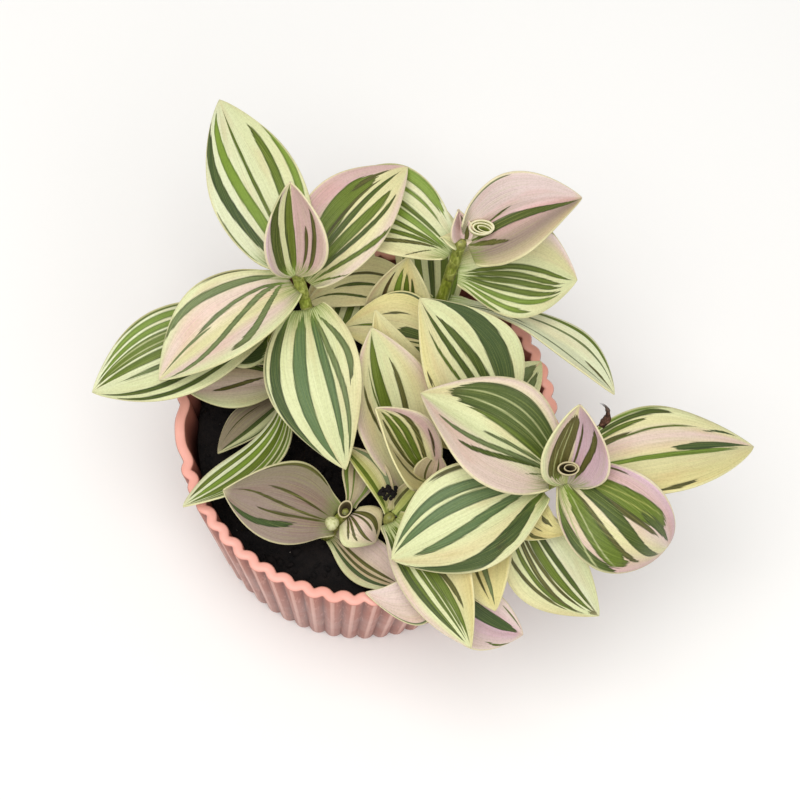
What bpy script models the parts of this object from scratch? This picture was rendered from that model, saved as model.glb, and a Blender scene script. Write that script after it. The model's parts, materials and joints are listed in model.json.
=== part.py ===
"""Potted tradescantia: a striped, trailing house plant in a fluted plastic pot.

Every piece is its own closed solid: the pot, the soil in it, the stems that rise from the soil and
the leaves on each stem.  The origin is the centre of the pot's flat underside and +Z is up.
Lengths are in millimetres and angles in degrees until a mesh is made, which is in metres.
"""

import math
from collections import namedtuple

import bmesh
import bpy
from mathutils import Vector

MM = 0.001
GAP = 0.3

# Pot: a tapered wall folded into upright flutes, with one plain panel as wide as three flutes.
POT_HEIGHT = 68.0
RIM_RADIUS = 53.0
FOOT_RADIUS = 45.5
WALL = 2.3
FLOOR = 3.0
FLUTE_DEPTH = 0.7
FLUTE_PITCHES = 58
PANEL_PITCHES = 3
PANEL_ANGLE = 191.0
COLUMNS_PER_PITCH = 4
FOOT_LAND = 7.0
DRAIN_RADIUS = 4.0
DRAIN_CIRCLE = 26.0
DRAIN_COUNT = 5
DRAIN_SIDES = 16

# Soil: a plug that ends a little below the rim.
SOIL_TOP = 54.0
SOIL_CLEARANCE = 0.5
SOIL_SIDES = 64

# Stems: round shoots that leave the soil upright.
STEM_RADIUS = 1.8
STEM_UPRIGHT = 2.0
STEM_SPANS = 7

# Leaves: pointed oval blades that start just clear of their stem.
LEAF_THICKNESS = 0.8
LEAF_CLEARANCE = 0.8
LEAF_CUP = 0.1
LEAF_FULLNESS = 0.85
SHEATH_HALF_WIDTH = 0.6
TIP_HALF_WIDTH = 0.4
CELLS_ALONG = 7
CELLS_ACROSS = 4

PINK_PLASTIC = ((0.83, 0.34, 0.26, 1.0), 0.45)
DARK_SOIL = ((0.012, 0.010, 0.010, 1.0), 0.95)
GREEN_STEM = ((0.30, 0.33, 0.10, 1.0), 0.5)
CREAM_LEAF = ((0.62, 0.66, 0.40, 1.0), 0.5)
PINK_LEAF = ((0.66, 0.46, 0.48, 1.0), 0.5)
DRY_LEAF = ((0.10, 0.05, 0.04, 1.0), 0.8)

# A leaf leaves its stem at a share of the stem's length.  Heading is the compass turn from +X,
# climb the rise of the line from base to tip, and roll the lean of the blade about that line.
# Twist is how much further the blade leans by its tip.  Arch lifts the midrib off the line, sway
# bends it sideways, and fold raises both halves into a V.  Widest is a share of the length.
Leaf = namedtuple("Leaf", "at heading climb length width widest roll twist arch sway fold finish")
Shoot = namedtuple("Shoot", "path leaves")

SHOOTS = {
    "left": Shoot(
        ((-13, 12, 52), (-14, 13, 70), (-20, 24, 86), (-25, 30, 103)),
        (
            Leaf(0.97, 119, 1, 56, 26, 0.40, 12, 1, 5.0, 0.5, 8, CREAM_LEAF),
            Leaf(1.00, 98, 54, 23, 25, 0.46, 0, 3, 1.0, -0.5, 45, PINK_LEAF),
            Leaf(0.85, 55, 7, 46, 24, 0.43, -14, -3, 5.0, 2.5, 8, CREAM_LEAF),
            Leaf(0.84, -140, -8, 47, 25, 0.48, -4, 2, 6.0, -1.0, 12, CREAM_LEAF),
            Leaf(0.72, -70, -11, 48, 27, 0.43, -6, -7, 5.5, -2.5, 10, CREAM_LEAF),
            Leaf(0.30, 80, -1, 47, 19, 0.42, 0, 0, 4.0, 0.0, 8, CREAM_LEAF),
        ),
    ),
    "left_low": Shoot(
        ((-24, 8, 52), (-25, 11, 62), (-28, 16, 72), (-31, 20, 84)),
        (
            Leaf(0.97, -153, -7, 53, 27, 0.51, 4, -1, 5.0, 0.0, 8, CREAM_LEAF),
            Leaf(0.30, -159, 21, 30, 11, 0.52, 3, 16, -1.0, -0.5, 15, CREAM_LEAF),
            Leaf(0.82, -172, 1, 20, 17, 0.40, 16, -10, 2.0, 1.0, 12, CREAM_LEAF),
            Leaf(0.55, 142, -2, 27, 18, 0.42, 0, 0, 3.0, 0.0, 8, CREAM_LEAF),
            Leaf(0.25, -118, 15, 53, 16, 0.52, 29, -14, 5.0, 8.0, 12, CREAM_LEAF),
            Leaf(0.12, -129, 9, 28, 11, 0.52, -12, -11, 1.0, 1.0, 10, CREAM_LEAF),
        ),
    ),
    "back": Shoot(
        ((15, 31, 52), (16, 34, 67), (20, 40, 84), (22, 43, 100)),
        (
            Leaf(0.98, 26, 10, 35, 29, 0.33, -35, 18, 3.0, 4.0, 40, PINK_LEAF),
            Leaf(0.76, 2, -2, 36, 29, 0.52, -21, -20, 4.0, 2.0, 8, CREAM_LEAF),
            Leaf(0.86, 150, -7, 44, 27, 0.52, -1, 17, 4.5, 0.5, 10, CREAM_LEAF),
            Leaf(1.00, 180, 62, 13, 6, 0.42, 0, 0, 0.0, 0.0, 50, PINK_LEAF),
            Leaf(0.45, -28, 10, 59, 21, 0.52, 51, -12, 5.0, 2.5, 8, CREAM_LEAF),
            Leaf(0.37, -172, 10, 39, 16, 0.56, -9, 18, 3.5, -6.5, 8, PINK_LEAF),
            Leaf(0.30, 100, 0, 43, 21, 0.42, 0, 0, 4.0, 0.0, 8, CREAM_LEAF),
        ),
    ),
    "inner": Shoot(
        ((12, 14, 52), (15, 16, 60), (20, 18, 69), (24, 19, 76)),
        (
            Leaf(0.97, 174, 6, 34, 19, 0.56, 19, -8, 0.5, -5.0, 8, CREAM_LEAF),
        ),
    ),
    "short": Shoot(
        ((8, 22, 52), (8, 23, 57), (8, 25, 61), (8, 27, 66)),
        (
            Leaf(0.97, 97, 63, 30, 20, 0.45, 4, 2, 0.0, 2.0, 15, PINK_LEAF),
        ),
    ),
    "middle": Shoot(
        ((27, 0, 52), (30, -2, 58), (33, -3, 66), (35, -3, 74)),
        (
            Leaf(0.50, 142, 36, 51, 19, 0.49, 3, -1, -0.5, 6.5, 10, CREAM_LEAF),
            Leaf(0.95, 130, 34, 45, 31, 0.45, -2, 0, 1.5, -3.5, 10, CREAM_LEAF),
            Leaf(0.50, 56, 4, 27, 11, 0.41, 2, 1, 2.0, 1.5, 15, CREAM_LEAF),
        ),
    ),
    "centre": Shoot(
        ((14, -22, 52), (14, -22, 58), (16, -22, 66), (19, -19, 76)),
        (
            Leaf(0.62, 115, 35, 51, 26, 0.52, -20, 20, 0.0, 0.0, 12, CREAM_LEAF),
            Leaf(1.00, 154, 56, 34, 24, 0.50, -1, -8, -2.5, 1.5, 40, PINK_LEAF),
            Leaf(0.95, 57, 15, 10, 9, 0.42, 0, 0, 0.0, 0.0, 35, PINK_LEAF),
        ),
    ),
    "right": Shoot(
        ((26, -24, 52), (34, -25, 74), (46, -22, 78), (57, -18, 94)),
        (
            Leaf(0.88, 156, 10, 44, 34, 0.47, -1, -20, 4.5, 0.5, 8, CREAM_LEAF),
            Leaf(0.80, -149, -7, 47, 30, 0.51, 0, 5, 5.5, 0.5, 8, CREAM_LEAF),
            Leaf(0.93, 20, -14, 60, 28, 0.47, 5, 15, 3.5, 0.5, 8, CREAM_LEAF),
            Leaf(0.92, -21, -24, 38, 28, 0.38, -28, -2, 12.5, 0.0, 5, PINK_LEAF),
            Leaf(1.00, 99, 57, 21, 24, 0.49, 4, 4, -3.0, 0.0, 45, PINK_LEAF),
            Leaf(0.58, -45, -21, 41, 22, 0.48, -11, -20, 2.0, -4.5, 8, CREAM_LEAF),
            Leaf(0.72, -50, -3, 15, 12, 0.46, -9, -6, 1.0, -6.0, 8, CREAM_LEAF),
            Leaf(0.44, -87, 3, 31, 22, 0.51, -13, -2, 3.5, -6.0, 8, CREAM_LEAF),
            Leaf(0.89, 67, -2, 26, 2.4, 0.42, 0, 0, 1.0, 0.0, 10, DRY_LEAF),
        ),
    ),
    "front": Shoot(
        ((10, -30, 52), (10, -30, 58), (9, -30, 64), (9, -30, 72)),
        (
            Leaf(0.98, -55, 8, 44, 21, 0.52, -19, -20, 4.0, 3.5, 8, CREAM_LEAF),
            Leaf(0.97, 124, 16, 25, 8, 0.42, 2, 1, 1.0, 3.0, 20, CREAM_LEAF),
        ),
    ),
    "rosette": Shoot(
        ((-8, -32, 52), (-8, -32, 56), (-7, -31, 60), (-6, -31, 66)),
        (
            Leaf(0.90, 179, 33, 37, 24, 0.50, 20, 20, 0.0, -2.0, 8, PINK_LEAF),
            Leaf(0.40, -34, 9, 27, 14, 0.52, -8, -13, -1.5, 0.0, 10, CREAM_LEAF),
            Leaf(0.92, -15, 18, 15, 17, 0.43, 3, 2, 1.0, 2.0, 12, CREAM_LEAF),
            Leaf(1.00, 41, 79, 12, 7, 0.42, 0, 0, 0.0, 0.0, 45, CREAM_LEAF),
        ),
    ),
    "trailing": Shoot(
        ((17, -31, 52), (19, -34, 62), (21, -38, 69), (24, -44, 72)),
        (
            Leaf(0.95, -27, -20, 31, 18, 0.52, 2, 3, 3.0, -5.5, 8, PINK_LEAF),
            Leaf(0.80, -148, 3, 21, 14, 0.46, 10, 6, 0.0, 7.5, 8, PINK_LEAF),
        ),
    ),
}


def clear_scene():
    """Remove whatever objects the open file holds."""
    for item in list(bpy.data.objects):
        bpy.data.objects.remove(item, do_unlink=True)


def new_collection(name):
    """Add a collection to the scene."""
    group = bpy.data.collections.new(name)
    bpy.context.scene.collection.children.link(group)
    return group


def material(name, finish):
    """Make a Principled material of a colour and a roughness."""
    colour, roughness = finish
    made = bpy.data.materials.new(name)
    made.use_nodes = True
    made.diffuse_color = colour
    shader = made.node_tree.nodes["Principled BSDF"]
    shader.inputs["Base Color"].default_value = colour
    shader.inputs["Roughness"].default_value = roughness
    shader.inputs["Metallic"].default_value = 0.0
    return made


def add_object(name, bm, group, finish=None):
    """Turn a bmesh in millimetres into an object in metres."""
    bmesh.ops.scale(bm, vec=(MM, MM, MM), verts=bm.verts)
    mesh = bpy.data.meshes.new(name)
    bm.to_mesh(mesh)
    bm.free()
    item = bpy.data.objects.new(name, mesh)
    group.objects.link(item)
    if finish:
        mesh.materials.append(material(name + "_finish", finish))
        mesh.shade_smooth()
        mesh.set_sharp_from_angle(angle=math.radians(40))
    return item


def pot_radius(height):
    """Radius of the middle of the pot's wall, before its flutes."""
    return FOOT_RADIUS + (RIM_RADIUS - FOOT_RADIUS) * height / POT_HEIGHT


def flute_wave(angle):
    """How far the flutes push the wall outwards at an angle in radians."""
    turned = math.remainder(angle - math.radians(PANEL_ANGLE), math.tau)
    pitches = abs(turned) * FLUTE_PITCHES / math.tau
    half_panel = PANEL_PITCHES / 2
    if pitches < half_panel:
        return FLUTE_DEPTH * math.cos(math.pi * pitches / half_panel)
    return -FLUTE_DEPTH * math.cos(math.tau * (pitches - half_panel))


def wall_point(angle, height, side):
    """A point on the wall's outer face (side 1) or inner face (side -1), square to its folds."""
    radius = pot_radius(height)
    step = 0.001
    slope = (flute_wave(angle + step) - flute_wave(angle - step)) / (2 * step * radius)
    lean = math.hypot(1.0, slope)
    offset = side * WALL / 2
    out = radius + flute_wave(angle) + offset / lean
    turn = angle - offset * slope / lean / out
    return Vector((out * math.cos(turn), out * math.sin(turn), height))


def add_pot(group, cutters):
    """Build the fluted wall, rim and floor from one ring carried round the section, and drill it."""
    columns = FLUTE_PITCHES * COLUMNS_PER_PITCH
    land = FOOT_RADIUS - FOOT_LAND
    section = (
        lambda angle: wall_point(angle, 0.0, 1),
        lambda angle: wall_point(angle, POT_HEIGHT, 1),
        lambda angle: wall_point(angle, POT_HEIGHT, -1),
        lambda angle: wall_point(angle, FLOOR, -1),
        lambda angle: Vector((land * math.cos(angle), land * math.sin(angle), FLOOR)),
    )
    bm = bmesh.new()
    bmesh.ops.create_circle(bm, cap_ends=True, radius=land, segments=columns)
    edges = list(bm.edges)
    for place in section:
        made = bmesh.ops.extrude_edge_only(bm, edges=edges)["geom"]
        edges = [item for item in made if isinstance(item, bmesh.types.BMEdge)]
        for vertex in [item for item in made if isinstance(item, bmesh.types.BMVert)]:
            column = round(math.atan2(vertex.co.y, vertex.co.x) * columns / math.tau)
            vertex.co = place(math.tau * column / columns)
    bmesh.ops.edgeloop_fill(bm, edges=edges)
    bmesh.ops.recalc_face_normals(bm, faces=bm.faces)
    pot = add_object("pot", bm, group, PINK_PLASTIC)

    drill = bmesh.new()
    for index in range(DRAIN_COUNT):
        made = bmesh.ops.create_cone(
            drill, cap_ends=True, segments=DRAIN_SIDES,
            radius1=DRAIN_RADIUS, radius2=DRAIN_RADIUS, depth=4 * FLOOR,
        )
        angle = math.tau * index / DRAIN_COUNT
        place = Vector((DRAIN_CIRCLE * math.cos(angle), DRAIN_CIRCLE * math.sin(angle), 0.0))
        bmesh.ops.translate(drill, vec=place, verts=made["verts"])
    cutter = add_object("drain_drill", drill, cutters)
    cutter.hide_render = True
    cutter.display_type = "WIRE"
    holes = pot.modifiers.new("drain_holes", "BOOLEAN")
    holes.operation = "DIFFERENCE"
    holes.solver = "EXACT"
    holes.object = cutter


def add_soil(group):
    """Fill the pot with a tapered plug of soil that clears the floor and the flutes."""
    bottom = FLOOR + GAP
    depth = SOIL_TOP - bottom
    inset = WALL / 2 + FLUTE_DEPTH + SOIL_CLEARANCE
    bm = bmesh.new()
    bmesh.ops.create_cone(
        bm, cap_ends=True, segments=SOIL_SIDES,
        radius1=pot_radius(bottom) - inset, radius2=pot_radius(SOIL_TOP) - inset, depth=depth,
    )
    bmesh.ops.translate(bm, vec=(0.0, 0.0, bottom + depth / 2), verts=bm.verts)
    add_object("soil", bm, group, DARK_SOIL)


def stem_point(path, share):
    """A point on the cubic curve that four points steer."""
    rest = 1.0 - share
    weights = (rest ** 3, 3 * rest ** 2 * share, 3 * rest * share ** 2, share ** 3)
    return sum((weight * Vector(point) for weight, point in zip(weights, path)), Vector())


def add_stem(name, path, group):
    """Lay a round tube along a shoot's path, upright where it meets the soil."""
    floor = SOIL_TOP + GAP
    points = [stem_point(path, index / STEM_SPANS) for index in range(STEM_SPANS + 1)]
    points = [point for point in points if point.z > floor + STEM_UPRIGHT]
    foot = Vector((points[0].x, points[0].y, floor))
    points.insert(0, foot)
    curve = bpy.data.curves.new(name, "CURVE")
    curve.dimensions = "3D"
    curve.bevel_depth = STEM_RADIUS * MM
    curve.bevel_resolution = 2
    curve.use_fill_caps = True
    spline = curve.splines.new("POLY")
    spline.points.add(len(points) - 1)
    for target, point in zip(spline.points, points):
        target.co = (*(point * MM), 1.0)
    curve.materials.append(material(name + "_finish", GREEN_STEM))
    group.objects.link(bpy.data.objects.new(name, curve))


def leaf_axes(leaf):
    """Directions from base to tip, out of the upper face and to the left of a leaf."""
    heading, climb, roll = (math.radians(a) for a in (leaf.heading, leaf.climb, leaf.roll))
    level = Vector((math.cos(heading), math.sin(heading), 0.0))
    along = level * math.cos(climb) + Vector((0.0, 0.0, math.sin(climb)))
    upright = Vector((0.0, 0.0, math.cos(climb))) - level * math.sin(climb)
    left = upright.cross(along)
    upper = upright * math.cos(roll) + left * math.sin(roll)
    return along, upper, left * math.cos(roll) - upright * math.sin(roll)


def leaf_half_width(leaf, share):
    """Half the blade's width at a share of its length, round at the base and pointed at the tip."""
    bend = math.log(0.5) / math.log(leaf.widest)
    blade = math.sin(math.pi * min(share, 1.0) ** bend)
    swell = leaf.width / 2 * max(blade, 0.0) ** LEAF_FULLNESS
    return max(swell + SHEATH_HALF_WIDTH * (1.0 - share) ** 6, TIP_HALF_WIDTH)


def leaf_point(leaf, base, axes, share, across):
    """A point on the blade: share runs from base to tip, across from -1 at its right edge to 1."""
    along, upper, left = axes
    bulge = 4 * share * (1.0 - share)
    middle = base + along * leaf.length * share + upper * leaf.arch * bulge + left * leaf.sway * bulge
    twist = math.radians(leaf.twist) * share
    face = upper * math.cos(twist) + left * math.sin(twist)
    side = left * math.cos(twist) - upper * math.sin(twist)
    half = leaf_half_width(leaf, share)
    fold = math.radians(leaf.fold)
    lift = half * (abs(across) * math.sin(fold) + LEAF_CUP * across ** 2)
    return middle + side * half * across * math.cos(fold) + face * lift


def add_leaf(name, leaf, path, group):
    """Shape a grid into a blade and give it thickness."""
    base = stem_point(path, leaf.at)
    axes = leaf_axes(leaf)
    start = (STEM_RADIUS + LEAF_CLEARANCE) / leaf.length
    bm = bmesh.new()
    bmesh.ops.create_grid(bm, x_segments=CELLS_ALONG, y_segments=CELLS_ACROSS, size=1.0)
    for vertex in bm.verts:
        share = start + (1.0 - start) * (vertex.co.x + 1.0) / 2
        vertex.co = leaf_point(leaf, base, axes, share, vertex.co.y)
    blade = add_object(name, bm, group, leaf.finish)
    thick = blade.modifiers.new("thickness", "SOLIDIFY")
    thick.thickness = LEAF_THICKNESS * MM
    thick.offset = 0.0


def main():
    """Build the pot, the soil and every shoot with its leaves."""
    clear_scene()
    group = new_collection("potted_tradescantia")
    cutters = new_collection("cutters")
    add_pot(group, cutters)
    add_soil(group)
    for shoot_name, shoot in SHOOTS.items():
        add_stem(shoot_name + "_stem", shoot.path, group)
        for number, leaf in enumerate(shoot.leaves, start=1):
            add_leaf(f"{shoot_name}_leaf_{number}", leaf, shoot.path, group)


main()
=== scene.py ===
"""Looks of the potted tradescantia: leaves, shoots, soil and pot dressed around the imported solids.

Lengths are in millimetres and angles in degrees until a mesh is made, which is in metres.  Leaves
keep close to the solids' shapes and get their veins, stripes, waved edges and sheaths here.
"""

import json
import math
import random
from collections import namedtuple

import bmesh
import bpy
from mathutils import Matrix, Vector, noise


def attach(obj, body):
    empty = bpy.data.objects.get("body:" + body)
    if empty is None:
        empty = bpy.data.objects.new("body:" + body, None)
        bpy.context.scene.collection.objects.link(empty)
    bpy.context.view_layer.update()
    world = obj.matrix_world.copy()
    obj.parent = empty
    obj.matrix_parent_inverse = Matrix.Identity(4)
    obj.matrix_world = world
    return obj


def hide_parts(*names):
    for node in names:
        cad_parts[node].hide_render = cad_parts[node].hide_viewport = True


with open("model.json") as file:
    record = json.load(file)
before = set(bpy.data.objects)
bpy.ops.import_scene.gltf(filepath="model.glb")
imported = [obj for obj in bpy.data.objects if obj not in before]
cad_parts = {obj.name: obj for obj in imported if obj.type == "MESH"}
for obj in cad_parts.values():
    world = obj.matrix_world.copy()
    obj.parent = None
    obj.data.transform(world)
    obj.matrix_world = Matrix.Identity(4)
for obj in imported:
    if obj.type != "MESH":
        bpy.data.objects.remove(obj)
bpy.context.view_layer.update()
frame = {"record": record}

MM = 0.001
SEED = 11

# Pot
POT_HEIGHT = 68.0
RIM_RADIUS = 53.0
FOOT_RADIUS = 45.5
WALL = 3.0
FLOOR = 3.0
FLUTE_DEPTH = 0.6
FLUTE_ROUNDING = 0.2
FLUTE_PITCHES = 58
PANEL_PITCHES = 3
PANEL_ANGLE = 191.0
PANEL_FLATNESS = 1.7
COLUMNS_PER_PITCH = 12
FOOT_LAND = 7.0
RIM_ROUNDING = 0.6
DRAIN_RADIUS = 4.0
DRAIN_CIRCLE = 26.0
DRAIN_COUNT = 5
DRAIN_SIDES = 32

# Soil
SOIL_TOP = 54.0
SOIL_SIDES = 120
SOIL_RINGS = 44
SOIL_GAP = 0.2
SOIL_LIFT = 0.3
SOIL_DIP = 0.4
# The layers of its rough top: height, closeness and where each starts in the noise.
SOIL_LAYERS = ((1.1, 0.05, (0, 0, 0)), (0.9, 0.22, (7, 3, 1)), (0.55, 0.7, (1, 9, 4)))
MOUND_PLACE = (9, -27)
MOUND_HEIGHT = 2.2
MOUND_SPREAD = 90
CRUMB_COUNT = 900
CRUMB_SIZES = (0.35, 1.3)
CRUMB_LIFT = 0.1
SPECK_COUNT = 60
SPECK_SIZES = (0.18, 0.45)
SPECK_LIFT = 0.6
GRAIN_MARGIN = 1.5
GRAIN_SPREAD = (0.7, 1.3)
GRAIN_KNOBS = (0.72, 1.25)
GRAIN_STRETCH = ((0.8, 1.5), (0.6, 1.0), (0.5, 0.9))

# Stems
STEM_RADIUS = 1.8
STEM_STEPS = 26
STEM_SIDES = 14
PATH_CHORDS = 20
STEM_FOOT = 1.05
STEM_TAPER = 0.2
STEM_DOME = ((0.92, 0.35), (0.70, 0.68), (0.35, 0.90))
NODE_REACH = 1.3
NODE_SWELL = 0.10
SHEATH_LENGTH = 4.0
SHEATH_SHARE = 0.12
SHEATH_FLARE = (1.05, 1.11)
SHEATH_LEAN = 0.7
SHEATH_SIDES = 16
SHEATH_CUTS = 3
SHEATH_WALL = 0.1

# Leaves
LEAF_THICKNESS = 0.45
LEAF_CUP = 0.1
LEAF_FULLNESS = 0.85
BASE_FULLNESS = 0.68
HEEL_WIDTH = 0.42
HEEL_LENGTH = 0.10
HEEL_FADE = 0.6
CLASP_SHIFT = 2.2
CLASP_CUP = 0.35
CLASP_FOOT = 0.2
HUG_LENGTH = 0.16
HUG_LIFT = 0.9
BLADE_START = 0.9
TIP_HALF_WIDTH = 0.06
RIB_DEPTH = 0.28
RIB_WIDTH = 0.10
WAVE_HEIGHT = 0.30
WAVE_PITCH = 11.0
WAVE_HALF_WIDTH = 8.0
WAVE_SHIFTS = (1.7, 2.0)
CELLS_ALONG = 46
CELLS_ACROSS = 20
STRIPE_FULLNESS = 1.25

# Stage, where each lamp has a name, place, width, power and colour
FLOOR_SIZE = 3000.0
SKY_COLOUR = (1.0, 0.99, 0.97, 1.0)
SKY_STRENGTH = 0.51
LAMPS = (
    ("key", (-170, -220, 1150), 900, 8.2, (1.0, 0.985, 0.96)),
    ("fill", (500, -600, 900), 800, 2.0, (0.98, 0.985, 1.0)),
)
LAMP_AIM = (0, 0, 60)
CAMERA_PLACE = (0.0, -183.43, 549.02)
CAMERA_AIM = (8.59, 6.80, 68.0)
CAMERA_TILT = 8.606
CAMERA_LENS = 81.0
CAMERA_SENSOR = 36.0
CAMERA_NEAR = 10.0


def tone(code):
    """Linear colour of a six-digit screen colour code."""
    parts = [int(code[i:i + 2], 16) / 255 for i in (0, 2, 4)]
    linear = [c / 12.92 if c <= 0.04045 else ((c + 0.055) / 1.055) ** 2.4 for c in parts]
    return (*linear, 1.0)


WHITE = tone("EAEFCA")
CREAM = tone("E4E9B6")
IVORY = tone("EAE4B0")
YELLOW = tone("EFE4A0")
BLUSH = tone("ECD4C8")
PALE_PINK = tone("F0DAD4")
ROSE_WHITE = tone("FFE9E8")
PINK = tone("DDB9B8")
LILAC = tone("DDBCCB")
MAUVE = tone("C6A9A4")
TAN = tone("D2C29C")
# These two darkened tones paint shade onto leaves that sit low or turned away from the light.
PAINTED_SHADE_TAN = tone("978A75")
PAINTED_SHADE_PINK = tone("9F8B81")
HAY = tone("C6CD72")
SPRING = tone("7E9A33")
LEAF = tone("63771D")
SAGE = tone("738353")
BLUE = tone("5F794A")
DEEP = tone("495B18")
BOTTLE = tone("405526")
OLIVE = tone("5E5C28")
BROWN = tone("5A482A")
BARK = tone("40381C")
PALE_SHADE = tone("F6E0DA")
VEIN_SHADE = tone("CFCDBE")
EDGE_SHADE = tone("B2B698")

# A stripe runs along the blade from one part of its length to another.  Its centre goes from base to
# tip, both from -100 at the right edge to 100, bowed sideways in between.  All are in hundredths.
Stripe = namedtuple("Stripe", "start end base tip half shade bow", defaults=(0,))
# A leaf starts at a share of its stem and is widest at a share of its own length.  Heading, climb,
# roll, twist and fold are in degrees.  Arch and sway bow its middle out of its upper face and to its
# left.  Ground lists colours across the blade, from -1 to 1, that show between its stripes.  A
# clasping leaf is a round cup at its foot, which hugs the top of the stem.
LEAF_PARTS = "at heading climb length width widest roll twist arch sway fold ground stripes clasp"
Leaf = namedtuple("Leaf", LEAF_PARTS, defaults=(0.0,))
Shoot = namedtuple("Shoot", "path leaves")

PLAIN_STRIPES = (
    (4, 90, 70, 80, 6, LEAF), (4, 95, 35, 40, 8, LEAF), (4, 98, 0, 0, 7, DEEP), (4, 93, -35, -45, 9, LEAF),
    (4, 88, -70, -80, 7, SPRING),
)

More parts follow.
